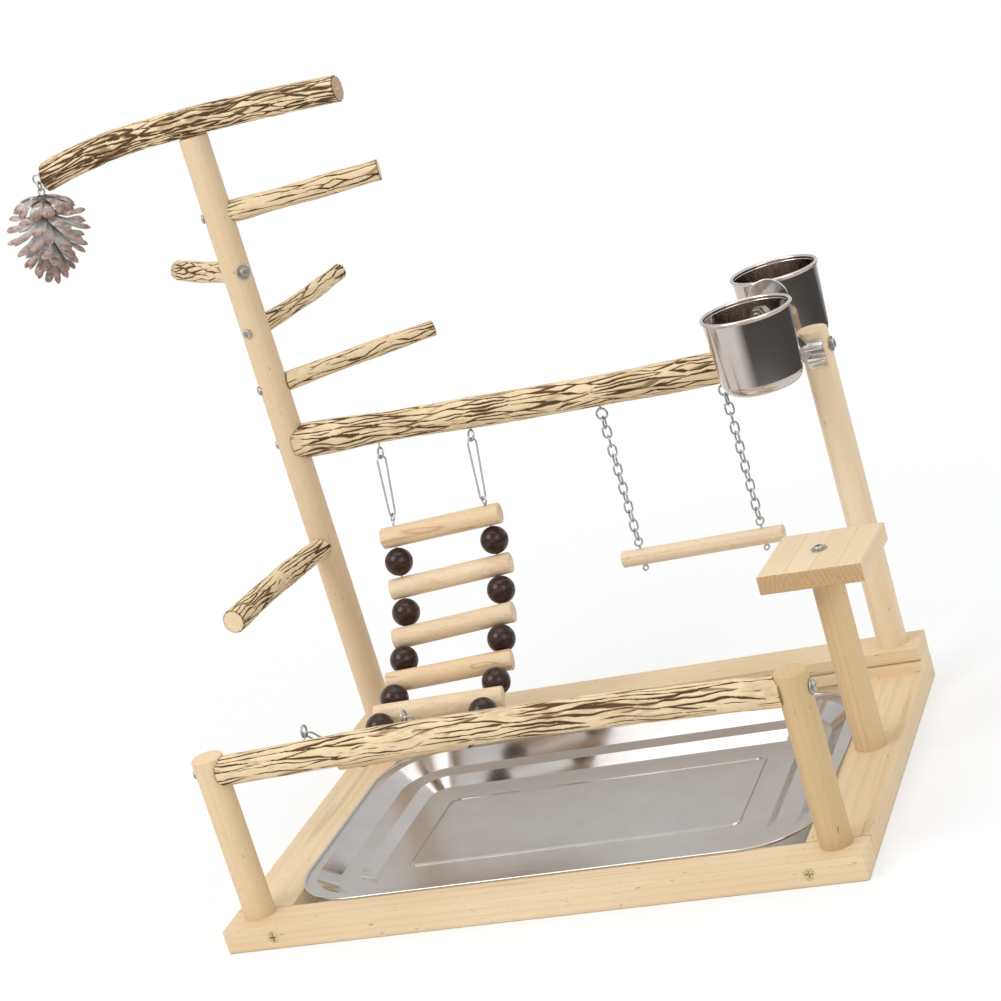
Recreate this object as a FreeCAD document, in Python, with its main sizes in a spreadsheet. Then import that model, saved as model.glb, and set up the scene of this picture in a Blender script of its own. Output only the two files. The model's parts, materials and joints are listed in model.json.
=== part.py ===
import FreeCAD, Part
import math
import os
import Sketcher

os.makedirs("parts", exist_ok=True)
V = FreeCAD.Vector
doc = FreeCAD.newDocument("play_stand")

# Origin: floor level, middle of the front rail's underside. X to the right, Y to the back, Z up.
SIZES = {
    # frame
    "base_width": 520, "front_rail_depth": 32, "board_height": 20, "side_board_width": 49,
    "back_rail_front": 299, "back_rail_depth": 39, "riser_height": 9.3, "back_rail_height": 12,
    "back_board_setback": 4, "edge_round": 1.2, "back_rail_round": 4,
    # posts: insets are from the frame's outer side and from the rails' facing edges
    "post_radius": 12.5, "post_inset": 24, "back_post_inset": 20, "front_post_inset": 7,
    "platform_post_y": 169, "tall_post_top": 588, "right_post_rise": 15.4,
    "platform_post_top": 171.5, "front_post_top": 158.5, "post_chamfer": 0.8,
    # platform
    "platform_width": 82.5, "platform_thickness": 15.5, "platform_turn": -3.5, "platform_round": 1.5,
    "platform_shift": 1,
    # tray
    "tray_side_rest": 6.5, "tray_front_rest": 3, "tray_back_gap": 14, "tray_corner": 58,
    "tray_sheet": 0.8,
    "tray_rim_width": 2.6, "tray_rim_height": 2.2, "tray_flange": 9.5, "tray_ledge_drop": 9.2,
    "tray_ledge_width": 17, "tray_floor_drop": 6.4, "tray_wall_slope": 59,
    "tray_panel_inset": 23.6, "tray_panel_step": 1.2, "tray_panel_line": 2.4,
    # cups
    "cup_inset": 33, "cup_stand_off": 20.5, "cup_height": 63, "cup_top_radius": 35.6,
    "cup_base_radius": 32.4, "cup_wall": 1.0, "cup_bead_radius": 1.6, "cup_base_round": 2.2,
    "cup_bolt_rise": 41.5, "cup_rim_rise": 13.5, "cup_bolt_radius": 3, "cup_bolt_clearance": 0.06,
    "cup_bolt_end": 0.76, "nut_across": 10, "nut_thickness": 5, "nut_gap": 1.15,
    "large_disc_radius": 17, "small_disc_radius": 12.5, "disc_thickness": 2.2, "spacer_radius": 8,
    "bracket_thickness": 1.5, "bracket_height": 23, "bracket_drop": 14, "bracket_arm_width": 14,
    "bracket_arm_thickness": 2, "bracket_wave": 4.2, "bracket_width": 14.8,
    # perches
    "perch_seat": 7, "main_perch_seat": 6, "front_perch_seat": 8.5,
    "upper_perch_drop": 69.5, "back_left_perch_drop": 120.5, "back_right_perch_drop": 172.5,
    "middle_perch_rise": 59.5, "front_left_perch_height": 214.5,
    "upper_perch_reach": 143, "back_left_perch_reach": 114, "back_right_perch_reach": 150,
    "middle_perch_reach": 152, "front_left_perch_reach": 168,
    "upper_perch_radius": 9.3, "back_left_perch_radius": 9.4, "back_right_perch_radius": 7.8,
    "middle_perch_radius": 7.8, "front_left_perch_radius": 10,
    "main_perch_height": 304, "main_perch_radius": 13.5,
    "front_perch_drop": 8.5, "front_perch_radius": 12.7,
    "top_perch_radius": 12.2, "top_perch_left_reach": 142, "top_perch_right_reach": 138.5,
    # screws
    "screw_radius": 1.8, "screw_head_radius": 4, "screw_head_height": 2.2, "screw_length": 46,
    "screw_fit": 0.03, "washer_radius": 6.2, "washer_thickness": 1,
    "frame_screw_head_radius": 5.2, "frame_screw_length": 62, "frame_screw_inset": 6.5,
    "frame_screw_drop": 9.6, "top_screw_length": 60, "screw_bite": 26,
    # eyes, chain, hooks
    "eye_wire": 0.95, "eye_ring": 4.6, "eye_reach": 19.5, "wire": 0.8, "play": 0.3,
    "chain_pitch": 8.5, "link_half_width": 3.3, "chain_twist": 40, "chain_links": 13,
    "hook_reach": 48.5,
    "hook_wide": 4.1, "hook_narrow": 2.7, "hook_turn": 40, "ladder_ring": 3.2, "low_hook_play": 0.6,
    # swing
    "swing_left_x": 45.5, "swing_right_x": 153, "swing_dowel_end": 17.55,
    "swing_dowel_radius": 7, "swing_ring": 3.4, "swing_loop": 2.2, "swing_stem": 3.1,
    # ladder
    "ladder_left_x": -155, "ladder_right_x": -70, "rung_end": 11, "rung_radius": 9,
    "bead_radius": 12.2, "ladder_wire": 1.0, "ladder_hole": 1.35,
    # pine cone
    "cone_reach": 155, "cone_ring_drop": 3, "cone_ring": 4, "cone_loop": 3, "cone_hang": 13,
    "cone_shank": 24, "cone_length": 84, "cone_radius": 39.5, "cone_lean": 11,
}

sheet = doc.addObject("Spreadsheet::Sheet", "Params")
for row, (name, value) in enumerate(SIZES.items(), 1):
    sheet.set("A%d" % row, name)
    sheet.set("B%d" % row, str(value))
    sheet.setAlias("B%d" % row, name)
doc.recompute()


def size(name):
    return float(sheet.get(name))


def unit(vector):
    copy = V(vector)
    copy.normalize()
    return copy


def bind(thing, **expressions):
    for prop, text in expressions.items():
        words = [w if not w[0].isalpha() else "Params." + w for w in text.split(" ")]
        thing.setExpression(prop.replace("__", "."), " ".join(words))


def name_piece(thing, label):
    thing.Label = label
    nodes[label] = thing
    return thing


nodes = {}
# What is bored into each wooden piece: piece -> list of (start, direction, length, radius name)
bores = {}


# ---------------------------------------------------------------- building blocks

def bound_sketch(body, plane_role, offset=None):
    sketch = doc.addObject("Sketcher::SketchObject", "Sketch")
    body.addObject(sketch)
    plane = next(f for f in body.Origin.OriginFeatures if f.Role == plane_role)
    sketch.AttachmentSupport = [(plane, "")]
    sketch.MapMode = "FlatFace"
    if offset:
        sketch.setExpression("AttachmentOffset.Base.z", offset)
    return sketch


def circle_sketch(body, radius_text, offset=None):
    sketch = bound_sketch(body, "XY_Plane", offset)
    sketch.addGeometry(Part.Circle(V(0, 0, 0), V(0, 0, 1), 10), False)
    sketch.addConstraint(Sketcher.Constraint("Coincident", 0, 3, -1, 1))
    sketch.addConstraint(Sketcher.Constraint("Radius", 0, 10))
    sketch.setExpression("Constraints[1]", radius_text)
    return sketch


def rectangle_sketch(body, width_text, depth_text, offset=None):
    # centred on the body's own origin
    sketch = bound_sketch(body, "XY_Plane", offset)
    corners = [V(-10, -5, 0), V(10, -5, 0), V(10, 5, 0), V(-10, 5, 0)]
    for i in range(4):
        sketch.addGeometry(Part.LineSegment(corners[i], corners[(i + 1) % 4]), False)
    for i in range(4):
        sketch.addConstraint(Sketcher.Constraint("Coincident", i, 2, (i + 1) % 4, 1))
    sketch.addConstraint(Sketcher.Constraint("Horizontal", 0))
    sketch.addConstraint(Sketcher.Constraint("Horizontal", 2))
    sketch.addConstraint(Sketcher.Constraint("Vertical", 1))
    sketch.addConstraint(Sketcher.Constraint("Vertical", 3))
    sketch.addConstraint(Sketcher.Constraint("Symmetric", 0, 1, 2, 1, -1, 1))
    sketch.addConstraint(Sketcher.Constraint("DistanceX", 0, 1, 0, 2, 20))
    sketch.addConstraint(Sketcher.Constraint("DistanceY", 1, 1, 1, 2, 10))
    sketch.setExpression("Constraints[9]", width_text)
    sketch.setExpression("Constraints[10]", depth_text)
    return sketch


def pad(body, sketch, length_text, downward=False):
    feature = doc.addObject("PartDesign::Pad", "Pad")
    body.addObject(feature)
    feature.Profile = sketch
    feature.setExpression("Length", length_text)
    feature.Reversed = downward
    body.Tip = feature
    doc.recompute()
    return feature


def dress(body, kind, edges, size_text):
    base = body.Tip
    feature = doc.addObject("PartDesign::" + kind, kind)
    body.addObject(feature)
    feature.Base = (base, edges)
    feature.setExpression("Radius" if kind == "Fillet" else "Size", size_text)
    body.Tip = feature
    doc.recompute()
    return feature


def edge_names(shape, test):
    return ["Edge%d" % (i + 1) for i, edge in enumerate(shape.Edges) if test(edge)]


def board(label, width_text, depth_text, height_text, x_text, y_text, z_text, round_text,
          test=None):
    # a flat board: its own origin is the middle of its underside
    body = doc.addObject("PartDesign::Body", "Body")
    pad(body, rectangle_sketch(body, width_text, depth_text), height_text)
    edges = edge_names(body.Shape, test or (lambda e: True))
    dress(body, "Fillet", edges, round_text)
    body.setExpression("Placement.Base.x", x_text)
    body.setExpression("Placement.Base.y", y_text)
    body.setExpression("Placement.Base.z", z_text)
    blanks[label] = body
    return body


def post(label, x_text, y_text, low_text, top_text):
    # a round post standing on z = low
    body = doc.addObject("PartDesign::Body", "Body")
    pad(body, circle_sketch(body, "Params.post_radius"), "%s - (%s)" % (top_text, low_text))
    dress(body, "Chamfer", edge_names(body.Shape, lambda e: len(e.Vertexes) == 1
                                      and e.CenterOfMass.z > 1), "Params.post_chamfer")
    body.setExpression("Placement.Base.x", x_text)
    body.setExpression("Placement.Base.y", y_text)
    body.setExpression("Placement.Base.z", low_text)
    blanks[label] = body
    return body


blanks = {}


def free_piece(label, shape):
    # a bent or lofted piece, its shape worked out here from the sheet's sizes
    feature = doc.addObject("Part::Feature", "Shape")
    feature.Shape = shape
    feature.Placement = FreeCAD.Placement()
    return name_piece(feature, label)


def disc_wire(centre, direction, radius):
    return Part.Wire([Part.Circle(centre, direction, radius).toShape()])


def branch(points, radii):
    # a lofted branch: round sections square to a smooth line through the points
    line = Part.BSplineCurve()
    line.interpolate(points)
    shape_line = line.toShape()
    sections = []
    count = len(radii)
    for i, radius in enumerate(radii):
        fraction = i / (count - 1)
        at = shape_line.getParameterByLength(shape_line.Length * fraction)
        sections.append(disc_wire(line.value(at), unit(line.tangent(at)[0]), radius))
    return Part.makeLoft(sections, True, False)


def tube(wire_line, radius):
    # round wire along a line
    start = wire_line.Edges[0]
    at = start.FirstParameter
    point = start.valueAt(at)
    direction = start.tangentAt(at)
    return Part.Wire(wire_line.Edges).makePipeShell([disc_wire(point, direction, radius)], True, True)


def ring(centre, normal, ring_radius, wire_radius):
    return Part.makeTorus(ring_radius, wire_radius, centre, normal)


def rod(start, direction, length, radius):
    return Part.makeCylinder(radius, length, start, direction)


def link(centre, along, across, half_length, half_width, radius):
    # closed oval wire loop: half_length is centre to the far end of the wire's centre line
    straight = half_length - half_width
    a = unit(along)
    c = unit(across)
    normal = a.cross(c)
    p1 = centre + a * straight + c * half_width
    p2 = centre - a * straight + c * half_width
    p3 = centre - a * straight - c * half_width
    p4 = centre + a * straight - c * half_width
    solids = [rod(p1, p2 - p1, (p2 - p1).Length, radius), rod(p3, p4 - p3, (p4 - p3).Length, radius)]
    for middle in (centre + a * straight, centre - a * straight):
        outward = a if (middle - centre).dot(a) > 0 else a * -1
        half = Part.makeTorus(half_width, radius, middle, normal)
        keep = Part.makeBox(4 * half_width, 4 * half_width, 4 * half_width)
        keep.translate(V(-2 * half_width, -2 * half_width, 0))
        keep.Placement = FreeCAD.Placement(middle, FreeCAD.Rotation(V(0, 0, 1), outward)).multiply(
            FreeCAD.Placement(V(-2 * half_width, -2 * half_width, 0), FreeCAD.Rotation()))
        solids.append(half.common(keep))
    return solids[0].multiFuse(solids[1:]).removeSplitter()


def hook_loop(wide_end, narrow_end, across, wide, narrow, radius):
    # closed wire loop between two ends of its centre line, round at both, wider at one
    run = narrow_end - wide_end
    a = unit(run)
    c = unit(across)
    centre_wide = wide_end + a * wide
    centre_narrow = narrow_end - a * narrow
    lean_part = (wide - narrow) / (centre_narrow - centre_wide).Length
    flat = math.sqrt(1 - lean_part ** 2)
    out_1 = a * lean_part + c * flat
    out_2 = a * lean_part - c * flat
    p1 = centre_wide + out_1 * wide
    p2 = centre_narrow + out_1 * narrow
    p3 = centre_narrow + out_2 * narrow
    p4 = centre_wide + out_2 * wide
    middle = (p1 + p2) * 0.5
    edges = [Part.LineSegment(middle, p2).toShape(), Part.Arc(p2, narrow_end, p3).toShape(),
             Part.LineSegment(p3, p4).toShape(), Part.Arc(p4, wide_end, p1).toShape(),
             Part.LineSegment(p1, middle).toShape()]
    profile = disc_wire(middle, p2 - middle, radius)
    return Part.Wire(edges).makePipeShell([profile], True, False)


def turned(vector, axis, degrees):
    return FreeCAD.Rotation(axis, degrees).multVec(vector)


def screw(seat, inward, length, head_radius, head_height, sunk=False):
    # shank from the seat inwards, head outwards, or a sunk cone flush with the seat
    inward = unit(inward)
    radius = size("screw_radius")
    tip = 3 * radius
    shank = rod(seat, inward, length - tip, radius)
    point = Part.makeCone(radius, 0.4, tip, seat + inward * (length - tip), inward)
    if sunk:
        head = Part.makeCone(head_radius, radius, head_height, seat, inward)
        face = seat
        depth = head_height * 0.6
    else:
        head = Part.makeCylinder(head_radius, head_height, seat - inward * head_height, inward)
        rim = [e for e in head.Edges if len(e.Vertexes) == 1
               and (e.CenterOfMass - seat).dot(inward) < -0.5 * head_height]
        head = head.makeFillet(head_height * 0.6, rim)
        face = seat - inward * head_height
        depth = head_height * 0.55
    solid = head.fuse([shank, point])
    side = unit(inward.cross(V(0.31, 0.2, 0.93)))
    for turn in (0, 90):
        arm = Part.makeBox(head_radius * 1.1, head_radius * 0.22, depth * 2)
        arm.translate(V(-head_radius * 0.55, -head_radius * 0.11, -depth))
        spin = FreeCAD.Rotation(V(0, 0, 1), inward).multiply(FreeCAD.Rotation(V(0, 0, 1), turn))
        arm.Placement = FreeCAD.Placement(face, spin).multiply(arm.Placement)
        solid = solid.cut(arm)
    return solid.removeSplitter()


def bore(label, start, direction, length, radius):
    bores.setdefault(label, []).append((V(start), unit(direction), length, radius))


def group(label, solids):
    return free_piece(label, Part.makeCompound(solids))


# ---------------------------------------------------------------- frame

half_rail = "Params.front_rail_depth / 2"
post_x_text = "(Params.base_width / 2 - Params.post_inset)"
back_post_text = "(Params.back_rail_front + Params.back_post_inset)"
front_post_text = "(Params.front_rail_depth / 2 - Params.front_post_inset)"
top_of_boards = "Params.board_height"
back_edge = "(Params.back_rail_front + Params.back_rail_depth)"
side_centre = "(Params.base_width - Params.side_board_width) / 2"
side_depth = "%s - %s" % (back_edge, half_rail)
side_middle = "(%s + %s) / 2" % (back_edge, half_rail)
rail_middle = "Params.back_rail_front + Params.back_rail_depth / 2"

board("front_rail", "Params.base_width", "Params.front_rail_depth", "Params.board_height",
      "0", "0", "0", "Params.edge_round")
board("left_board", "Params.side_board_width", side_depth, "Params.board_height",
      "-%s" % side_centre, side_middle, "0", "Params.edge_round",
      lambda e: abs(e.CenterOfMass.x) > 20 and abs(e.CenterOfMass.z - 10) > 5)
board("right_board", "Params.side_board_width", side_depth, "Params.board_height",
      side_centre, side_middle, "0", "Params.edge_round",
      lambda e: abs(e.CenterOfMass.x) > 20 and abs(e.CenterOfMass.z - 10) > 5)
board("back_board", "Params.base_width - 2 * Params.side_board_width",
      "Params.back_rail_depth - Params.back_board_setback", "Params.board_height",
      "0", "%s + Params.back_board_setback / 2" % rail_middle, "0", "Params.edge_round",
      lambda e: abs(e.CenterOfMass.x) < 1)
board("back_riser", "Params.base_width", "Params.back_rail_depth", "Params.riser_height",
      "0", rail_middle, top_of_boards, "Params.edge_round",
      lambda e: abs(e.CenterOfMass.z - size("riser_height") / 2) < 1)
board("back_rail", "Params.base_width", "Params.back_rail_depth", "Params.back_rail_height",
      "0", rail_middle, "Params.board_height + Params.riser_height", "Params.back_rail_round",
      lambda e: abs(e.CenterOfMass.x) < 1 and e.CenterOfMass.y < 0 and e.CenterOfMass.z < 1)

# ---------------------------------------------------------------- posts

on_rail = "(Params.board_height + Params.riser_height + Params.back_rail_height)"
post("tall_post", "-" + post_x_text, back_post_text, on_rail, "Params.tall_post_top")
post("right_post", post_x_text, back_post_text, on_rail,
     "Params.main_perch_height + Params.right_post_rise")
post("platform_post", post_x_text, "Params.platform_post_y", top_of_boards,
     "Params.platform_post_top")
post("front_left_post", "-" + post_x_text, front_post_text, top_of_boards,
     "Params.front_post_top")
post("front_right_post", post_x_text, front_post_text, top_of_boards,
     "Params.front_post_top")

# ---------------------------------------------------------------- platform

platform = board("platform_board", "Params.platform_width", "Params.platform_width",
                 "Params.platform_thickness", post_x_text + " + Params.platform_shift",
                 "Params.platform_post_y",
                 "Params.platform_post_top", "Params.platform_round")
platform.Placement.Rotation = FreeCAD.Rotation(V(0, 0, 1), size("platform_turn"))

# ---------------------------------------------------------------- perches

post_x = size("base_width") / 2 - size("post_inset")
back_y = size("back_rail_front") + size("back_post_inset")
front_y = size("front_rail_depth") / 2 - size("front_post_inset")
post_r = size("post_radius")
tall = V(-post_x, back_y, 0)


def side_perch(label, height, azimuth, rise, bow, swells):
    # from the tall post outwards, its end hollowed to the post; bow bends it sideways
    turn = math.radians(azimuth)
    out = V(math.cos(turn), math.sin(turn), 0)
    across = V(-math.sin(turn), math.cos(turn), 0)
    start = tall + out * size("perch_seat") + V(0, 0, height)
    span = size(label + "_reach") - size("perch_seat")
    points = [start, start + out * (span * 0.06)]
    for part in (0.35, 0.68, 1.0):
        bend = bow * math.sin(math.pi * (part * 0.9))
        points.append(start + out * (span * part) + across * bend + V(0, 0, rise * part))
    radii = [size(label + "_radius") * swell for swell in swells]
    perches[label] = (branch(points, radii), tall + V(0, 0, height), out)
    seats[label] = ["tall_post"]


perches = {}
# posts that a perch's end is hollowed out to fit
seats = {"top_perch": ["tall_post"], "main_perch": ["tall_post", "right_post"],
         "front_perch": ["front_left_post", "front_right_post"]}
post_top = size("tall_post_top")
main_level = size("main_perch_height")
side_perch("upper_perch", post_top - size("upper_perch_drop"), 16, 0, -3,
           [1.03, 1.01, 0.97, 1.02, 0.99, 1.0])
side_perch("back_left_perch", post_top - size("back_left_perch_drop"), 141, 0, 3,
           [0.98, 1.01, 0.98, 1.02, 0.99, 1.0])
side_perch("back_right_perch", post_top - size("back_right_perch_drop"), 81, 5, -5,
           [1.05, 1.01, 0.97, 1.01, 0.97, 0.99])
side_perch("middle_perch", main_level + size("middle_perch_rise"), 37, 0, 3,
           [1.05, 1.03, 0.97, 1.01, 0.96, 0.97])
side_perch("front_left_perch", size("front_left_perch_height"), 264, 0, -4,
           [0.96, 0.98, 1.01, 0.98, 1.02, 1.02])


def level_points(half_span, y, level, steps):
    # points of a level perch's centre line: (share of the half span, height above level)
    return [V(half_span * share, y, level + lift) for share, lift in steps]


main_points = level_points(
    post_x - size("main_perch_seat"), back_y, main_level,
    [(-1, 7), (-0.965, 6.7), (-0.435, 3), (0, 0), (0.522, -1.5), (0.965, -0.1), (1, 0)])
main_r = size("main_perch_radius")
main_radii = [main_r * swell for swell in (0.97, 1, 0.963, 1, 0.956, 1, 0.978, 1)]
front_level = size("front_post_top") - size("front_perch_drop")
front_points = level_points(
    post_x - size("front_perch_seat"), front_y, front_level,
    [(-1, -4.7), (-0.965, -4.6), (-0.484, -1.4), (0, 0), (0.484, -1.8), (0.965, -5.5), (1, -5.6)])
front_r = size("front_perch_radius")
front_radii = [front_r * swell for swell in (1, 0.976, 1, 0.969, 1, 0.976, 1)]
perches["main_perch"] = (branch(main_points, main_radii), main_points[0], V(1, 0, 0))
perches["front_perch"] = (branch(front_points, front_radii), front_points[0], V(1, 0, 0))
top_r = size("top_perch_radius")
top_left = size("top_perch_left_reach")
top_right = size("top_perch_right_reach")
top_middle = tall + V(0, 0, post_top + top_r)
top_points = [top_middle + V(-top_left, 0, -14.7), top_middle + V(-top_left * 0.52, 0, -2.7),
              top_middle, top_middle + V(top_right * 0.55, 0, -0.8),
              top_middle + V(top_right, 0, -3.2)]
top_radii = [top_r * swell for swell in (1.065, 1.033, 1, 1, 0.984, 0.959, 0.934)]
perches["top_perch"] = (branch(top_points, top_radii), top_middle, V(0, 0, 1))


def height_on(points, x):
    # height of a perch's centre line at x
    line = Part.BSplineCurve()
    line.interpolate(points)
    low = line.FirstParameter
    high = line.LastParameter
    for _ in range(50):
        middle = (low + high) / 2
        if line.value(middle).x < x:
            low = middle
        else:
            high = middle
    return line.value((low + high) / 2).z


for label, (shape, centre, out) in perches.items():
    blank = doc.addObject("Part::Feature", "Branch")
    blank.Shape = shape
    blanks[label] = blank

# ---------------------------------------------------------------- screws through the wood

screw_length = size("screw_length")
head_r = size("screw_head_radius")
head_h = size("screw_head_height")
washer_t = size("washer_thickness")
fit = size("screw_radius") + size("screw_fit")
play = size("play")
perch_screws = []
perch_washers = []


def washer(seat, inward):
    outside = rod(seat - unit(inward) * washer_t, inward, washer_t, size("washer_radius"))
    return outside.cut(rod(seat - unit(inward) * 2 * washer_t, inward, 4 * washer_t, fit))


def perch_screw(perch, post_label, through, inward, washed):
    # through: the point where the screw's line crosses the post's axis
    inward = unit(inward)
    seat = through - inward * post_r
    if washed:
        perch_washers.append(washer(seat, inward))
        seat = seat - inward * washer_t
    perch_screws.append(screw(seat, inward, screw_length, head_r, head_h))
    bore(post_label, seat, inward, screw_length, fit)
    bore(perch, seat, inward, screw_length, fit)


washed_perches = ("back_left_perch", "front_left_perch")
for label in ("upper_perch", "back_left_perch", "back_right_perch", "middle_perch",
              "front_left_perch"):
    shape, centre, out = perches[label]
    perch_screw(label, "tall_post", centre, out, label in washed_perches)
for perch, y, points, left_post, right_post in (
        ("main_perch", back_y, main_points, "tall_post", "right_post"),
        ("front_perch", front_y, front_points, "front_left_post", "front_right_post")):
    perch_screw(perch, left_post, V(-post_x, y, points[0].z), V(1, 0, 0), False)
    perch_screw(perch, right_post, V(post_x, y, points[-1].z), V(-1, 0, 0), True)
group("perch_screws", perch_screws)
group("perch_washers", perch_washers)

# the top perch: saddle-cut onto the post, a sunk screw from above
top_seat = top_middle + V(0, 0, top_r - head_h - 0.4)
top_length = size("top_screw_length")
free_piece("top_perch_screw", screw(top_seat, V(0, 0, -1), top_length, head_r, head_h))
bore("top_perch", top_seat, V(0, 0, -1), top_length, fit)
bore("top_perch", top_seat + V(0, 0, 6), V(0, 0, -1), 6, head_r + play)
bore("tall_post", top_seat, V(0, 0, -1), top_length, fit)

# the platform
platform_top = size("platform_post_top") + size("platform_thickness")
platform_centre = V(post_x, size("platform_post_y"), platform_top)
free_piece("platform_washer", washer(platform_centre, V(0, 0, -1)))
free_piece("platform_screw", screw(platform_centre + V(0, 0, washer_t), V(0, 0, -1),
                                   screw_length, head_r, head_h))
bore("platform_board", platform_centre + V(0, 0, washer_t), V(0, 0, -1), screw_length, fit)
bore("platform_post", platform_centre + V(0, 0, washer_t), V(0, 0, -1), screw_length, fit)

# frame screws: brass, sunk into the front rail and on into the side boards
frame_screws = []
sunk_r = size("frame_screw_head_radius")
sunk_h = 3.2
for side in (-1, 1):
    seat = V(side * (size("base_width") / 2 - size("side_board_width") + size("frame_screw_inset")),
             -size("front_rail_depth") / 2, size("board_height") - size("frame_screw_drop"))
    frame_screws.append(screw(seat, V(0, 1, 0), size("frame_screw_length"), sunk_r, sunk_h, True))
    for label in ("front_rail", "left_board" if side < 0 else "right_board"):
        bore(label, seat, V(0, 1, 0), size("frame_screw_length"), fit)
    bore("front_rail", seat, V(0, 1, 0), sunk_h, (sunk_r, fit))
group("frame_screws", frame_screws)

# post screws: sunk into the underside, up through the frame into each post
post_screws = []
deck = size("board_height")
bite = size("screw_bite")
rail_level = deck + size("riser_height") + size("back_rail_height")
stack = ("back_riser", "back_rail")
for label, x, y, level, under in (
        ("tall_post", -post_x, back_y, rail_level, ("left_board",) + stack),
        ("right_post", post_x, back_y, rail_level, ("right_board",) + stack),
        ("platform_post", post_x, size("platform_post_y"), deck, ("right_board",)),
        ("front_left_post", -post_x, front_y, deck, ("front_rail",)),
        ("front_right_post", post_x, front_y, deck, ("front_rail",))):
    seat = V(x, y, 0.4)
    post_screws.append(screw(seat, V(0, 0, 1), level + bite, head_r, 2.4, True))
    for piece in under + (label,):
        bore(piece, seat, V(0, 0, 1), level + bite, fit)
    bore(under[0], seat, V(0, 0, 1), 2.4, (head_r, fit))
    bore(under[0], seat - V(0, 0, 2), V(0, 0, 1), 2, head_r)
group("post_screws", post_screws)

# ---------------------------------------------------------------- screw eyes

eye_wire = size("eye_wire")
eye_ring = size("eye_ring")
eye_reach = size("eye_reach")
wire = size("wire")


def screw_eye(perch, ring_centre, axis_point, normal):
    # a ring with a shank running 13 mm into the perch towards axis_point
    inward = unit(axis_point - ring_centre)
    start = ring_centre + inward * eye_ring
    depth = (axis_point - ring_centre).Length - eye_ring + 1.5
    bore(perch, start, inward, depth, eye_wire + size("screw_fit"))
    return ring(ring_centre, normal, eye_ring, eye_wire).fuse(rod(start, inward, depth, eye_wire))


swing_xs = (size("swing_left_x"), size("swing_right_x"))
ladder_xs = (size("ladder_left_x"), size("ladder_right_x"))
swing_eye_z = height_on(main_points, 100) - eye_reach
top_pivot = V(0, back_y - 9.35, main_level - 19.95)
lean = math.radians(14.4)
hook_dir = V(0, -math.sin(lean), -math.cos(lean))
main_eyes = [screw_eye("main_perch", V(x, back_y, swing_eye_z),
                       V(x, back_y, height_on(main_points, x)), V(0, 1, 0)) for x in swing_xs]
for x in ladder_xs:
    perch_axis = V(x, back_y, height_on(main_points, x))
    outward = unit(V(x, back_y - 8.2, top_pivot.z + 4.45) - perch_axis)
    centre = V(x, top_pivot.y, top_pivot.z) - outward * eye_ring
    normal = turned(outward.cross(V(1, 0, 0)), outward, size("hook_turn"))
    main_eyes.append(screw_eye("main_perch", centre, perch_axis, normal))
group("main_perch_eyes", main_eyes)

low_eye = V(0, front_y + 13.8, front_level + 11.8)
low_dir = unit(V(0, 0.768, -0.640))
low_pivot = low_eye + low_dir * (eye_ring - eye_wire - wire - play)
group("front_perch_eyes", [
    screw_eye("front_perch", V(x, low_eye.y, low_eye.z),
              V(x, front_y, height_on(front_points, x)), V(1, 0, 0)) for x in ladder_xs])

# ---------------------------------------------------------------- swing

pitch = size("chain_pitch")
half_link = (pitch + 2 * wire + play) / 2
swing_pivot_z = swing_eye_z - eye_ring
first_top = swing_pivot_z + eye_wire + wire + play
links = int(size("chain_links"))
for side, x in zip(("left", "right"), swing_xs):
    chain = []
    for i in range(links):
        centre = V(x, back_y, first_top - half_link - pitch * i)
        twist = size("chain_twist") * min(1, i / 4)
        across = turned(V(0, 1, 0) if i % 2 == 0 else V(1, 0, 0), V(0, 0, 1), twist)
        chain.append(link(centre, V(0, 0, 1), across, half_link, size("link_half_width"), wire))
    group("swing_chain_" + side, chain)
chain_low = first_top - 2 * half_link - pitch * (links - 1)

swing_ring = size("swing_ring")
swing_loop = size("swing_loop")
dowel_r = size("swing_dowel_radius")
swing_ring_z = chain_low + 2 * wire + play - swing_ring
dowel_z = swing_ring_z - swing_ring - size("swing_stem") - dowel_r
swing_eyes = []
facing = turned(V(0, 1, 0), V(0, 0, 1), size("chain_twist"))
for x in swing_xs:
    top = V(x, back_y, swing_ring_z)
    low = V(x, back_y, dowel_z - dowel_r - swing_loop - wire - play)
    start = top - V(0, 0, swing_ring)
    stem = rod(start, V(0, 0, -1), start.z - low.z - swing_loop, wire)
    eye = ring(top, facing, swing_ring, wire).fuse([stem, ring(low, facing, swing_loop, wire)])
    swing_eyes.append(eye)
    bore("swing_dowel", V(x, back_y, dowel_z + dowel_r + 1), V(0, 0, -1), 2 * dowel_r + 2,
         wire + size("screw_fit"))
group("swing_dowel_eyes", swing_eyes)
dowel = doc.addObject("Part::Cylinder", "Dowel")
bind(dowel, Radius="swing_dowel_radius",
     Height="swing_right_x - swing_left_x + 2 * swing_dowel_end")
dowel.Placement = FreeCAD.Placement(V(swing_xs[0] - size("swing_dowel_end"), back_y, dowel_z),
                                    FreeCAD.Rotation(V(0, 0, 1), V(1, 0, 0)))
soft = doc.addObject("Part::Chamfer", "DowelEdge")
soft.Base = dowel
doc.recompute()
soft.Edges = [(i + 1, 0.7, 0.7) for i, e in enumerate(dowel.Shape.Edges) if e.Closed]
blanks["swing_dowel"] = soft

# ---------------------------------------------------------------- ladder

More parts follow.
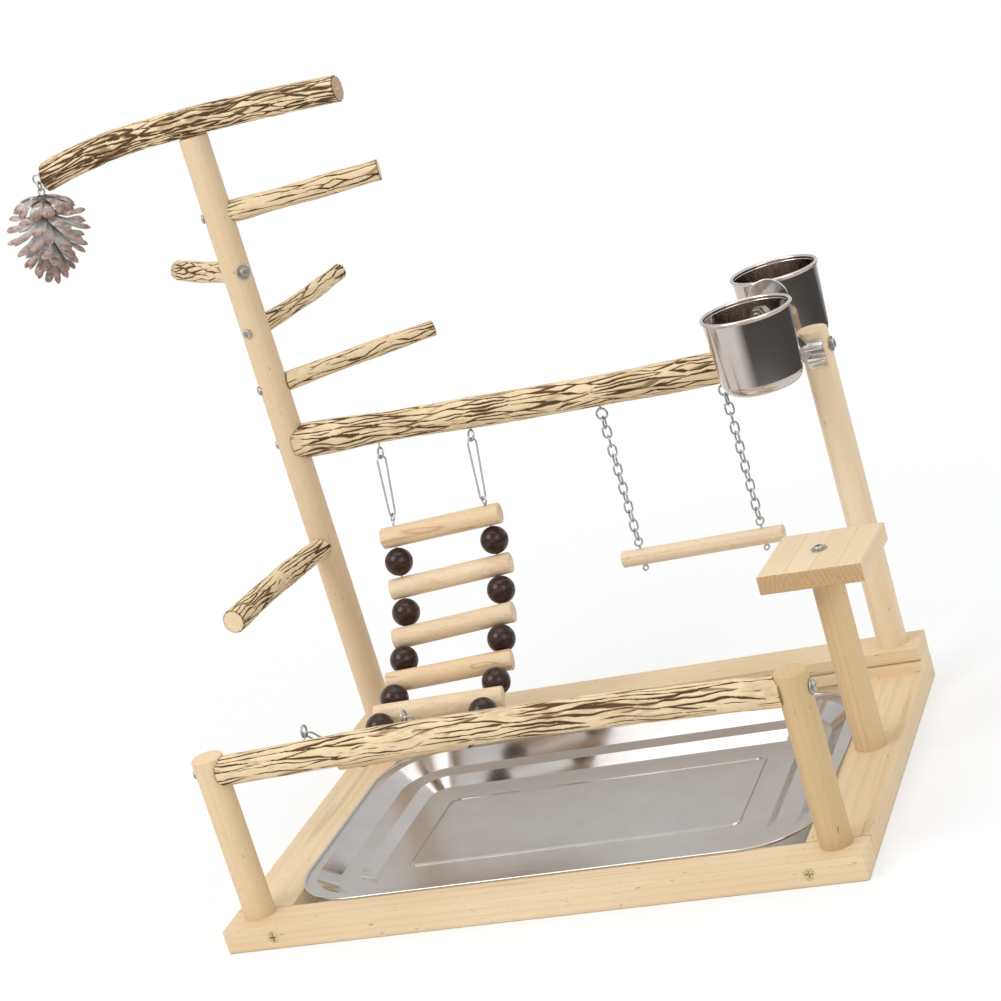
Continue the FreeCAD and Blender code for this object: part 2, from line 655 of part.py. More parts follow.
# where each strand passes through the rungs: (share of the way from the upper hooks to the
# lower ones, sag below that line as a share of its length)
left_steps = [(0.0629, 0.0457), (0.1821, 0.1697), (0.328, 0.2552), (0.5031, 0.2752),
              (0.6661, 0.2472), (0.822, 0.186), (0.9638, 0.0907)]
right_steps = [(0.03, 0.0579), (0.1321, 0.1913), (0.2817, 0.2707), (0.4458, 0.3175),
               (0.6146, 0.3017), (0.7742, 0.2302), (0.9303, 0.1152)]
ladder_pivot = top_pivot + hook_dir * size("hook_reach")
tie_pivot = low_pivot + low_dir * (size("hook_reach") + eye_wire + 3 * wire + 2 * play)
ladder_ring = size("ladder_ring")
low_gap = 2 * wire + size("low_hook_play")
low_ring = tie_pivot - low_dir * (low_gap - ladder_ring)
strand_xs = ladder_xs
ladder_run = tie_pivot - ladder_pivot
ladder_sag = V(0, -ladder_run.z, ladder_run.y)
hole_tools = []
strand_points = []
for side, x, steps in zip(("left", "right"), strand_xs, (left_steps, right_steps)):
    pivot = V(x, ladder_pivot.y, ladder_pivot.z)
    rungs = [pivot + ladder_run * along + ladder_sag * sag for along, sag in steps]
    strand_points.append(rungs)
    start_dir = unit(rungs[0] - pivot)
    top_ring = pivot + start_dir * ladder_ring
    end_ring = V(x, low_ring.y, low_ring.z)
    tail_dir = unit(end_ring - rungs[-1])
    curve = Part.BSplineCurve()
    curve.interpolate([top_ring + start_dir * ladder_ring] + rungs
                      + [end_ring - tail_dir * ladder_ring])
    strand = tube(Part.Wire([curve.toShape()]), size("ladder_wire"))
    normal = turned(V(1, 0, 0).cross(start_dir), start_dir, size("hook_turn"))
    rings = [ring(top_ring, normal, ladder_ring, wire),
             ring(end_ring, V(1, 0, 0), ladder_ring, wire)]
    free_piece("ladder_wire_" + side, strand.multiFuse(rings))
    hole_tools.append(tube(Part.Wire([curve.toShape()]), size("ladder_hole")))
    beads = []
    for a, b in zip(rungs[:-1], rungs[1:]):
        centre = curve.value((curve.parameter(a) + curve.parameter(b)) / 2)
        beads.append(Part.makeSphere(size("bead_radius"), centre).cut(hole_tools[-1]))
    group("ladder_beads_" + side, beads)

hole_feature = doc.addObject("Part::Feature", "StrandHoles")
hole_feature.Shape = Part.makeCompound(hole_tools)
for number, (left, right_end) in enumerate(zip(*strand_points), 1):
    along = unit(right_end - left)
    bar = doc.addObject("Part::Cylinder", "Rung")
    bar.setExpression("Radius", "Params.rung_radius")
    bar.Height = (right_end - left).Length + 2 * size("rung_end")
    bar.Placement = FreeCAD.Placement(left - along * size("rung_end"),
                                      FreeCAD.Rotation(V(0, 0, 1), along))
    soft = doc.addObject("Part::Chamfer", "RungEdge")
    soft.Base = bar
    doc.recompute()
    soft.Edges = [(i + 1, 0.8, 0.8) for i, e in enumerate(bar.Shape.Edges) if e.Closed]
    cut = doc.addObject("Part::Cut", "RungHoles")
    cut.Base = soft
    cut.Tool = hole_feature
    name_piece(cut, "ladder_rung_%d" % number)

# wire hooks: long loops of wire between the eyes and the ladder, wide at the eye
top_hooks = []
low_hooks = []
for x in strand_xs:
    high = V(x, top_pivot.y, top_pivot.z) - hook_dir * (eye_wire + wire + play)
    low = V(x, ladder_pivot.y, ladder_pivot.z) + hook_dir * (2 * wire + play)
    across = turned(hook_dir.cross(V(1, 0, 0)), hook_dir, size("hook_turn"))
    top_hooks.append(hook_loop(high, low, across, size("hook_wide"), size("hook_narrow"), wire))
    high = V(x, low_pivot.y, low_pivot.z)
    low = V(x, tie_pivot.y, tie_pivot.z)
    low_hooks.append(hook_loop(high, low, V(1, 0, 0), size("hook_wide"), size("hook_narrow"),
                               wire))
group("ladder_top_hooks", top_hooks)
group("ladder_front_hooks", low_hooks)

# ---------------------------------------------------------------- tray


def round_rectangle(half_width, low_y, high_y, corner, z):
    # outline of a rounded rectangle as a wire
    x0 = -half_width
    x1 = half_width
    d = corner * (1 - math.sqrt(0.5))
    edges = []
    marks = [
        (V(x0 + corner, low_y, z), V(x1 - corner, low_y, z), V(x1 - d, low_y + d, z)),
        (V(x1, low_y + corner, z), V(x1, high_y - corner, z), V(x1 - d, high_y - d, z)),
        (V(x1 - corner, high_y, z), V(x0 + corner, high_y, z), V(x0 + d, high_y - d, z)),
        (V(x0, high_y - corner, z), V(x0, low_y + corner, z), V(x0 + d, low_y + d, z)),
    ]
    for i, (a, b, bend) in enumerate(marks):
        edges.append(Part.LineSegment(a, b).toShape())
        edges.append(Part.Arc(b, bend, marks[(i + 1) % 4][0]).toShape())
    return Part.Wire(edges)


tray_half = size("base_width") / 2 - size("side_board_width") + size("tray_side_rest")
tray_low = size("front_rail_depth") / 2 - size("tray_front_rest")
tray_high = size("back_rail_front") - size("tray_back_gap")
corner = size("tray_corner")
sheet_t = size("tray_sheet")
slope = math.tan(math.radians(size("tray_wall_slope")))


def tray_level(inset, z):
    return round_rectangle(tray_half - inset, tray_low + inset, tray_high - inset,
                           max(corner - inset * 0.8, 8), z)


def slab(inset_low, z_low, inset_high, z_high):
    return Part.makeLoft([tray_level(inset_low, z_low), tray_level(inset_high, z_high)], True, True)


flange = size("tray_flange")
ledge_z = deck + sheet_t - size("tray_ledge_drop")
floor_z = ledge_z - size("tray_floor_drop")
wall_in = flange + size("tray_ledge_drop") * slope
ledge_in = wall_in + size("tray_ledge_width")
floor_in = ledge_in + size("tray_floor_drop") * slope
outside = slab(0, deck, 0, deck + sheet_t).multiFuse([
    slab(wall_in - sheet_t, ledge_z - sheet_t, flange - sheet_t, deck + sheet_t * 0.5),
    slab(floor_in - sheet_t, floor_z - sheet_t, ledge_in - sheet_t, ledge_z)])
inside = slab(wall_in, ledge_z, flange, deck + 2 * sheet_t).fuse(
    slab(floor_in, floor_z, ledge_in, ledge_z + 0.5))
panel_in = floor_in + size("tray_panel_inset")
rim_w = size("tray_rim_width")
rim = slab(0, deck, 0, deck + size("tray_rim_height")).cut(slab(rim_w, deck - 1, rim_w, deck + 9))
rim = rim.makeFillet(0.9, [e for e in rim.Edges
                           if abs(e.BoundBox.ZMin - deck - size("tray_rim_height")) < 0.01])
tray = outside.cut(inside).fuse(rim)
panel_line = size("tray_panel_line")
outline = slab(panel_in, floor_z - 0.2, panel_in + 0.6, floor_z + size("tray_panel_step"))
outline = outline.cut(slab(panel_in + panel_line + 0.6, floor_z - 1, panel_in + panel_line,
                           floor_z + 3))
tray = tray.fuse(outline).removeSplitter()
free_piece("tray", tray)

# ---------------------------------------------------------------- cups


def cup_body(label, y_text):
    body = doc.addObject("PartDesign::Body", "Body")
    sketch = bound_sketch(body, "XZ_Plane")
    tall_cup = size("cup_height")
    r0 = size("cup_base_radius")
    r1 = size("cup_top_radius")
    t = size("cup_wall")
    points = [V(0, 0, 0), V(r0, 0, 0), V(r1, tall_cup, 0), V(r1 - t, tall_cup, 0),
              V(r0 - t, t, 0), V(0, t, 0)]
    for i in range(6):
        sketch.addGeometry(Part.LineSegment(points[i], points[(i + 1) % 6]), False)
    for i in range(6):
        sketch.addConstraint(Sketcher.Constraint("Coincident", i, 2, (i + 1) % 6, 1))
    sketch.addConstraint(Sketcher.Constraint("Coincident", 0, 1, -1, 1))
    sketch.addConstraint(Sketcher.Constraint("Horizontal", 0))
    sketch.addConstraint(Sketcher.Constraint("Horizontal", 2))
    sketch.addConstraint(Sketcher.Constraint("Horizontal", 4))
    sketch.addConstraint(Sketcher.Constraint("Vertical", 5))
    names = (("DistanceX", 0, 1, 0, 2, r0, "Params.cup_base_radius"),
             ("DistanceX", -1, 1, 1, 2, r1, "Params.cup_top_radius"),
             ("DistanceY", -1, 1, 1, 2, tall_cup, "Params.cup_height"),
             ("DistanceX", 2, 2, 2, 1, t, "Params.cup_wall"),
             ("DistanceX", 4, 2, 4, 1, r0 - t, "Params.cup_base_radius - Params.cup_wall"),
             ("DistanceY", 5, 2, 5, 1, t, "Params.cup_wall"))
    for kind, g1, p1, g2, p2, value, text in names:
        index = sketch.addConstraint(Sketcher.Constraint(kind, g1, p1, g2, p2, value))
        sketch.setExpression("Constraints[%d]" % index, text)
    lathe = doc.addObject("PartDesign::Revolution", "Revolution")
    body.addObject(lathe)
    lathe.Profile = sketch
    lathe.ReferenceAxis = (sketch, ["V_Axis"])
    lathe.Angle = 360
    body.Tip = lathe
    doc.recompute()
    # the outer rounding stays under three times the sheet's thickness, so the corner keeps its metal
    outer = edge_names(body.Shape, lambda e: e.Closed and abs(e.CenterOfMass.z) < 0.01)
    dress(body, "Fillet", outer, "Params.cup_base_round")
    body.setExpression("Placement.Base.x", cup_x_text)
    body.setExpression("Placement.Base.y", y_text)
    body.setExpression("Placement.Base.z", cup_rim_text + " - Params.cup_height")
    bead = doc.addObject("Part::Torus", "Bead")
    bead.setExpression("Radius1", "Params.cup_top_radius")
    bead.setExpression("Radius2", "Params.cup_bead_radius")
    bead.setExpression("Placement.Base.x", cup_x_text)
    bead.setExpression("Placement.Base.y", y_text)
    bead.setExpression("Placement.Base.z", cup_rim_text)
    joined = doc.addObject("Part::Fuse", "CupWithBead")
    joined.Base = body
    joined.Tool = bead
    blanks[label] = joined


cup_x_text = post_x_text + " - Params.cup_inset"
cup_rim_text = "Params.main_perch_height + Params.cup_bolt_rise + Params.cup_rim_rise"
cup_reach_text = "(Params.cup_stand_off + Params.play + Params.cup_top_radius + Params.cup_bead_radius)"
cup_body("front_cup", back_post_text + " - " + cup_reach_text)
cup_body("back_cup", back_post_text + " + " + cup_reach_text)
cup_x = post_x - size("cup_inset")
bolt_z = main_level + size("cup_bolt_rise")
cup_gap = size("cup_stand_off")
cup_reach = cup_gap + play + size("cup_top_radius") + size("cup_bead_radius")
wall_at_bolt = size("cup_top_radius") - (size("cup_top_radius") - size("cup_base_radius")) * (
    size("cup_rim_rise") / size("cup_height"))
inner_wall = cup_reach - wall_at_bolt + size("cup_wall")
nut_t = size("nut_thickness")
nut_gap = size("nut_gap")
front_face = back_y - cup_gap
back_face = back_y + cup_gap
bolt_r = size("cup_bolt_radius")
bolt_half = inner_wall + nut_gap + nut_t + size("cup_bolt_end")
bolt_start = V(cup_x, back_y - bolt_half, bolt_z)
bolt_hole = bolt_r + size("cup_bolt_clearance")
for label, sign in (("front_cup", -1), ("back_cup", 1)):
    near = back_y + sign * 10
    bore(label, V(cup_x, near, bolt_z), V(0, sign, 0), 28, bolt_hole)
bolt = Part.makeCylinder(bolt_r, 2 * bolt_half, bolt_start, V(0, 1, 0))
free_piece("cup_bolt", bolt.makeChamfer(0.5, [e for e in bolt.Edges if e.Closed]))


def hexagon(centre, across_flats, thickness, hole):
    points = []
    for i in range(7):
        turn = math.radians(60 * i)
        reach = across_flats / math.sqrt(3)
        points.append(centre + V(reach * math.cos(turn), 0, reach * math.sin(turn)))
    solid = Part.Face(Part.makePolygon(points)).extrude(V(0, thickness, 0))
    return solid.cut(Part.makeCylinder(hole, thickness + 2, centre - V(0, 1, 0), V(0, 1, 0)))


def disc(y_low, thickness, radius, rounding=0.5):
    solid = Part.makeCylinder(radius, thickness, V(cup_x, y_low, bolt_z), V(0, 1, 0))
    solid = solid.makeFillet(rounding, [e for e in solid.Edges if e.Closed])
    return solid.cut(Part.makeCylinder(fit_bolt, 200, V(cup_x, y_low - 100, bolt_z), V(0, 1, 0)))


fit_bolt = bolt_r + 0.02
front_nut = V(cup_x, back_y - inner_wall - nut_gap - nut_t, bolt_z)
back_nut = V(cup_x, back_y + inner_wall + nut_gap, bolt_z)
group("cup_nuts", [hexagon(front_nut, size("nut_across"), nut_t, fit_bolt),
                   hexagon(back_nut, size("nut_across"), nut_t, fit_bolt)])
disc_t = size("disc_thickness")
arm_t = size("bracket_arm_thickness")
arm_front = back_y - main_r - play - arm_t
group("cup_discs", [disc(front_face, disc_t, size("small_disc_radius")),
                    disc(back_face - disc_t, disc_t, size("large_disc_radius"))])
spacer_low = arm_front + arm_t
group("cup_spacers", [
    disc(front_face + disc_t, arm_front - front_face - disc_t, size("spacer_radius"), 0.3),
    disc(spacer_low, back_face - disc_t - spacer_low, size("spacer_radius"), 0.3)])

# bracket: a waved strip on the front of the right post and an arm up to the bolt
low = main_level - size("bracket_drop")
high = low + size("bracket_height")
band_t = size("bracket_thickness")
strip_back = back_y - post_r
strip_left = post_x - size("main_perch_seat") + play
wave = size("bracket_wave")
steps = 24
front_line = []
back_line = []
for i in range(steps + 1):
    part = i / steps
    out_y = strip_back - band_t - wave * (math.sin(2 * math.pi * part) ** 2)
    level = low + (high - low) * part
    front_line.append(V(strip_left, out_y, level))
    back_line.append(V(strip_left, out_y + band_t, level))
strip_edges = []
for line_points in (front_line, back_line):
    line = Part.BSplineCurve()
    line.interpolate(line_points)
    strip_edges.append(line.toShape())
strip_edges.append(Part.LineSegment(front_line[0], back_line[0]).toShape())
strip_edges.append(Part.LineSegment(front_line[-1], back_line[-1]).toShape())
strip = Part.Face(Part.Wire(Part.__sortEdges__(strip_edges)))
strip = strip.extrude(V(size("bracket_width"), 0, 0))
arm_w = size("bracket_arm_width")
foot = V(post_x - 8, arm_front, high - 7)
tip = V(cup_x, arm_front, bolt_z)
run = unit(tip - foot)
across = V(run.z, 0, -run.x)
corners = [foot + across * arm_w / 2, tip + across * arm_w / 2, tip - across * arm_w / 2,
           foot - across * arm_w / 2, foot + across * arm_w / 2]
arm = Part.Face(Part.makePolygon(corners)).extrude(V(0, arm_t, 0))
arm = arm.multiFuse([Part.makeCylinder(arm_w / 2, arm_t, tip, V(0, 1, 0)),
                     Part.makeCylinder(arm_w / 2, arm_t, foot, V(0, 1, 0))])
arm = arm.cut(Part.makeCylinder(fit_bolt, 40, tip - V(0, 20, 0), V(0, 1, 0)))
arm = arm.cut(Part.makeCylinder(post_r, 400, V(post_x, back_y, 100), V(0, 0, 1)))
free_piece("cup_bracket", strip.fuse(arm).removeSplitter())

# ---------------------------------------------------------------- pine cone

cone_x = -post_x - size("cone_reach")
ring_r = size("cone_ring")
loop_r = size("cone_loop")
cone_ring = V(cone_x, back_y, post_top - size("cone_ring_drop"))
cone_top = cone_ring.z - size("cone_hang")
cone_eye = ring(cone_ring, V(0, 1, 0), ring_r, wire)
shank_start = cone_ring + V(ring_r, 0, 0)
cone_eye = cone_eye.fuse(rod(shank_start, V(1, 0, 0), size("cone_shank"), wire))
bore("top_perch", shank_start, V(1, 0, 0), size("cone_shank"), wire + size("screw_fit"))
free_piece("cone_eye", cone_eye)
link_pivot = cone_ring - V(0, 0, ring_r)
link_high = link_pivot + V(0, 0, 2 * wire + play)
link_low = V(cone_x, back_y, cone_top + loop_r)
link_middle = (link_high + link_low) * 0.5
free_piece("cone_link", link(link_middle, V(0, 0, 1), V(0, 1, 0),
                             (link_high.z - link_low.z) / 2, 2.6, wire))
cone_loop_z = link_low.z + 2 * wire + play
cone_loop = V(cone_x, back_y, cone_loop_z - loop_r)
length = size("cone_length")
radius = size("cone_radius")
profile = ((0.0, 0.10), (0.06, 0.5), (0.16, 0.68), (0.35, 0.66), (0.6, 0.52), (0.82, 0.33),
           (0.96, 0.14), (1.0, 0.0))
outline_points = [V(cone_x, back_y, cone_top)]
for down, wide in profile:
    outline_points.append(V(cone_x + radius * wide, back_y, cone_top - length * down))
outline_points.append(outline_points[0])
core = Part.Face(Part.makePolygon(outline_points)).revolve(
    V(cone_x, back_y, 0), V(0, 0, 1), 360)
scales = []
tiers = ((0.10, 0.80, 9), (0.22, 1.0, 11), (0.36, 1.0, 12), (0.50, 0.92, 12), (0.63, 0.8, 11),
         (0.76, 0.62, 9), (0.87, 0.42, 7))
for tier, (down, wide, count) in enumerate(tiers):
    for i in range(count):
        turn = 360 * (i + 0.5 * (tier % 2)) / count
        reach = radius * wide
        half = 0.9 * math.pi * reach / count
        plate = Part.Face(Part.makePolygon([
            V(reach * 0.3, -half * 0.45, 0), V(reach * 0.8, -half, 0), V(reach, -half * 0.35, 0),
            V(reach, half * 0.35, 0), V(reach * 0.8, half, 0), V(reach * 0.3, half * 0.45, 0),
            V(reach * 0.3, -half * 0.45, 0)])).extrude(V(0, 0, length * 0.043))
        plate.rotate(V(0, 0, 0), V(0, 1, 0), 14)
        plate.rotate(V(0, 0, 0), V(0, 0, 1), turn)
        plate.translate(V(cone_x, back_y, cone_top - length * down))
        scales.append(plate)
cone = core.multiFuse(scales + [ring(cone_loop, V(0, 1, 0), loop_r, wire)])
# the cone hangs a little askew from its loop
cone.rotate(cone_loop, V(0, 1, 0), size("cone_lean"))
free_piece("pine_cone", cone)

# ---------------------------------------------------------------- bore the wood and metal

doc.recompute()
for label, blank in blanks.items():
    cuts = []
    for start, direction, length_in, hole in bores.get(label, []):
        tool = doc.addObject("Part::Cone" if isinstance(hole, tuple) else "Part::Cylinder", "Bore")
        tool.Placement = FreeCAD.Placement(start, FreeCAD.Rotation(V(0, 0, 1), direction))
        tool.Height = length_in
        if isinstance(hole, tuple):
            tool.Radius1 = hole[0]
            tool.Radius2 = hole[1]
        else:
            tool.Radius = hole
        cuts.append(tool)
    cuts += [blanks[seat] for seat in seats.get(label, [])]
    if not cuts:
        name_piece(blank, label)
        continue
    piece = doc.addObject("Part::Cut", "Bored")
    piece.Base = blank
    if len(cuts) == 1:
        piece.Tool = cuts[0]
    else:
        joined = doc.addObject("Part::MultiFuse", "Tools")
        joined.Shapes = cuts
        piece.Tool = joined
    name_piece(piece, label)

doc.recompute()
for thing in doc.Objects:
    if "Invalid" in thing.State or "Error" in thing.State:
        raise RuntimeError("%s is %s" % (thing.Label, thing.State))
for label, piece in nodes.items():
    if piece.Shape.isNull() or not piece.Shape.isValid():
        raise RuntimeError("bad shape: " + label)
for label, piece in nodes.items():
    piece.Shape.exportStep("parts/%s.step" % label)
print("pieces", len(nodes), "solids", sum(len(p.Shape.Solids) for p in nodes.values()))
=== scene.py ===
"""Looks of the parrot play stand: finishes, carved perches, pine cone, studio and camera.

Metres, Z up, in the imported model's own frame: X to the right, Y to the back.
"""

import json
import math
import random

import bpy
import numpy as np
from mathutils import Matrix, Vector
from mathutils.bvhtree import BVHTree


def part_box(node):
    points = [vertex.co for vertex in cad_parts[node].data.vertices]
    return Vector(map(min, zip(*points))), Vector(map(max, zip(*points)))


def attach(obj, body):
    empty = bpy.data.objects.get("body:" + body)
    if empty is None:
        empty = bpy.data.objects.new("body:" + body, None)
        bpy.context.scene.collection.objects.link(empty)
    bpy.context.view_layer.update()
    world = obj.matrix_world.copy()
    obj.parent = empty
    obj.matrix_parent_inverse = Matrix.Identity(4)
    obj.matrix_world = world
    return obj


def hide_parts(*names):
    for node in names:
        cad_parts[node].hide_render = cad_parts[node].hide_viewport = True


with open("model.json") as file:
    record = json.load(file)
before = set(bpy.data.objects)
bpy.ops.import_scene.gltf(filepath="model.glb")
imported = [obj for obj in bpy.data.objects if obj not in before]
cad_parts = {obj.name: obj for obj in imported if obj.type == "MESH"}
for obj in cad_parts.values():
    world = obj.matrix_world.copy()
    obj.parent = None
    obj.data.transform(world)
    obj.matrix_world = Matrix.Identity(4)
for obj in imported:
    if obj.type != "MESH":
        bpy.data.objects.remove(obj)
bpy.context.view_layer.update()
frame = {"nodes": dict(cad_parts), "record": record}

MM = 0.001
X_AXIS = Vector((1, 0, 0))
Z_AXIS = Vector((0, 0, 1))

# ------------------------------------------------------------------ shader building blocks


class Shader:
    """One material: adds nodes, and joins them by passing sockets as inputs."""

    def __init__(self, name):
        self.material = bpy.data.materials.new(name)
        self.material.use_nodes = True
        self.tree = self.material.node_tree
        self.tree.nodes.clear()
        self.output = self.tree.nodes.new("ShaderNodeOutputMaterial")
        self.surface = self.tree.nodes.new("ShaderNodeBsdfPrincipled")
        self.tree.links.new(self.surface.outputs[0], self.output.inputs["Surface"])

    def set(self, target, name, value):
        socket = target.inputs[name]
        if isinstance(value, bpy.types.NodeSocket):
            self.tree.links.new(value, socket)
        else:
            socket.default_value = value

    def add(self, kind, settings=None, **inputs):
        made = self.tree.nodes.new("ShaderNode" + kind)
        for key, value in (settings or {}).items():
            setattr(made, key, value)
        for name, value in inputs.items():
            self.set(made, name.replace("_", " "), value)
        return made

    def finish(self, **inputs):
        for name, value in inputs.items():
            self.set(self.surface, name.replace("_", " "), value)
        return self.material

    def math(self, operation, first, second=0.0, third=0.0):
        made = self.tree.nodes.new("ShaderNodeMath")
        made.operation = operation
        for i, value in enumerate((first, second, third)):
            self.set(made, i, value)
        return made.outputs[0]

    def blend(self, factor, first, second):
        made = self.tree.nodes.new("ShaderNodeMix")
        made.data_type = "RGBA"
        for i, value in ((0, factor), (6, first), (7, second)):
            self.set(made, i, value)
        return made.outputs[2]

    def ramp(self, factor, *stops):
        """Smooth curve or colours through (place, value) stops."""
        made = self.tree.nodes.new("ShaderNodeValToRGB")
        points = made.color_ramp.elements
        while len(points) < len(stops):
            points.new(0.5)
        for point, (place, value) in zip(points, stops):
            point.position = place
            point.color = value if isinstance(value, tuple) else (value, value, value, 1)
        self.set(made, "Fac", factor)
        return made.outputs[0]

    def position(self, scale=(1, 1, 1), turn=(0, 0, 0), move=(0, 0, 0)):
        place = self.add("TexCoord").outputs["Object"]
        mapped = self.add("Mapping", Vector=place, Location=move, Rotation=turn, Scale=scale)
        return mapped.outputs[0]

    def along_grain(self, grain, squeeze, centre=(0, 0, 0), move=(0, 0, 0)):
        """Position measured from a centre, drawn out along the grain's axis."""
        scale = [squeeze if axis == grain else 1 for axis in "XYZ"]
        start = [shift - middle * k for shift, middle, k in zip(move, centre, scale)]
        return self.position(scale=scale, move=start)

    def noise(self, vector, scale, detail=4.0, rough=0.55, distortion=0.0):
        made = self.add("TexNoise", Vector=vector, Scale=scale, Detail=detail, Roughness=rough,
                        Distortion=distortion)
        return made.outputs["Fac"]

    def attribute(self, name):
        return self.add("Attribute", {"attribute_name": name}).outputs["Fac"]

    def bump(self, height, strength, distance):
        made = self.add("Bump", Height=height, Strength=strength, Distance=distance)
        return made.outputs[0]


def rgb(red, green, blue):
    return (red, green, blue, 1.0)


# ------------------------------------------------------------------ materials



def pine(name, light, dark, grain, label, pith, line_gap=4.2 * MM, contrast=0.55, knots=0.0):
    """Planed pine: growth lines along the grain, fibres, tone drift and small resin dashes."""
    s = Shader(name)
    low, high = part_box(label)
    centre = (low + high) / 2
    seed = sum(map(ord, name)) % 97
    deeper = rgb(dark[0] * 0.97, dark[1] * 0.92, dark[2] * 0.82)
    brown = rgb(dark[0] * 0.5, dark[1] * 0.36, dark[2] * 0.25)
    plain = s.along_grain(grain, 0.35, move=(seed, 0.1 * seed, 0))
    drawn_out = s.along_grain(grain, 0.06, centre, pith)
    rings = s.add("TexWave", {"wave_type": "RINGS", "rings_direction": grain,
                              "wave_profile": "SAW"},
                  Vector=drawn_out, Scale=2 * math.pi / (20 * line_gap), Distortion=1.6,
                  Detail=2.0, Detail_Scale=0.5, Detail_Roughness=0.5).outputs["Fac"]
    late = s.ramp(rings, (0.0, 0.0), (0.55, 0.1), (0.88, 0.95), (1.0, 0.2))
    wander = s.noise(s.along_grain(grain, 0.1, move=(seed, 0, 0)), 30.0, 2.0)
    strength = s.math("MULTIPLY", late, s.ramp(wander, (0.3, contrast * 0.35), (0.7, contrast)))
    colour = s.blend(strength, light, dark)
    drift = s.noise(plain, 11.0, 3.0)
    colour = s.blend(s.ramp(drift, (0.38, 0.0), (0.75, 0.5)), colour, deeper)
    fibre = s.noise(s.along_grain(grain, 0.02, move=(seed, 0, 0)), 1500.0, 3.0, 0.7)
    colour = s.blend(s.ramp(fibre, (0.42, 0.0), (0.75, 0.25)), colour, deeper)
    dashes = s.noise(s.along_grain(grain, 0.22, move=(0, seed, 0)), 460.0, 1.0)
    colour = s.blend(s.ramp(dashes, (0.72, 0.0), (0.78, 0.7)), colour, brown)
    if knots:
        streak = s.noise(s.along_grain(grain, 0.05, move=(0, 0, seed)), 70.0, 2.0)
        colour = s.blend(s.ramp(streak, (0.66, 0.0), (0.74, knots), (0.82, 0.0)), colour, brown)
    height = s.math("ADD", s.math("MULTIPLY", fibre, 0.6), s.math("MULTIPLY", strength, 0.5))
    sheen = s.ramp(fibre, (0.3, 0.5), (0.8, 0.64))
    return s.finish(Base_Color=colour, Roughness=sheen, Specular_IOR_Level=0.32,
                    Normal=s.bump(height, 0.25, 0.12 * MM))


def beech(name, light, dark, seed, streaked=0.0):
    """Turned beech, grain along X: even peach wood with short fine pore dashes."""
    s = Shader(name)
    move = (0.21 * seed, 0.34 * seed, 0.11 * seed)
    dashes = s.ramp(s.noise(s.along_grain("X", 0.12, move=move), 1150.0, 1.5),
                    (0.6, 0.0), (0.75, 0.5))
    streak_place = s.along_grain("X", 0.035, move=move)
    streaks = s.noise(streak_place, 240.0, 3.0)
    colour = s.blend(s.ramp(streaks, (0.35, 0.0), (0.75, 0.65)), light, dark)
    darker = rgb(dark[0] * 0.68, dark[1] * 0.52, dark[2] * 0.36)
    colour = s.blend(dashes, colour, darker)
    line = s.noise(streak_place, 130.0, 1.0)
    colour = s.blend(s.ramp(line, (0.56, 0.0), (0.62, 0.18 + streaked), (0.7, 0.0)), colour, darker)
    return s.finish(Base_Color=colour, Roughness=s.ramp(streaks, (0.2, 0.46), (0.8, 0.58)),
                    Specular_IOR_Level=0.35, Normal=s.bump(dashes, 0.2, -0.08 * MM))


def carved_branch(name, cream, halo, char):
    """Peeled branch: cream wood, charred carved grooves, cut ends in plain wood."""
    s = Shader(name)
    carve = s.attribute("carve")
    stain = s.attribute("stain")
    cut = s.attribute("cut")
    along = s.add("Attribute", {"attribute_name": "grain"}).outputs["Vector"]
    fibre = s.noise(along, 1.0, 4.0, 0.65)
    blotch = s.noise(s.position(), 55.0, 3.0)
    wood = s.blend(s.ramp(fibre, (0.35, 0.0), (0.75, 0.7)), cream, halo)
    wood = s.blend(s.ramp(blotch, (0.45, 0.0), (0.8, 0.3)), wood, halo)
    browned = rgb(halo[0] * 0.45, halo[1] * 0.36, halo[2] * 0.28)
    wood = s.blend(stain, wood, browned)
    wood = s.blend(s.ramp(carve, (0.06, 0.0), (0.42, 0.75)), wood, browned)
    dark_tone = s.blend(s.ramp(blotch, (0.3, 0.0), (0.7, 1.0)), char,
                        rgb(char[0] * 2.4, char[1] * 2.3, char[2] * 2.0))
    wood = s.blend(s.ramp(carve, (0.34, 0.0), (0.72, 0.97)), wood, dark_tone)
    end_rings = s.math("SINE", s.math("MULTIPLY", s.attribute("ring"), 7.0))
    end_wood = s.blend(s.ramp(end_rings, (0.2, 0.0), (1.0, 0.28)), cream, halo)
    end_wood = s.blend(s.ramp(s.noise(s.position(), 900.0, 2.0), (0.5, 0.0), (0.8, 0.5)),
                       end_wood, halo)
    wood = s.blend(cut, wood, end_wood)
    rough = s.ramp(carve, (0.2, 0.55), (0.8, 0.82))
    return s.finish(Base_Color=wood, Roughness=rough, Specular_IOR_Level=0.28,
                    Normal=s.bump(fibre, 0.3, 0.15 * MM))


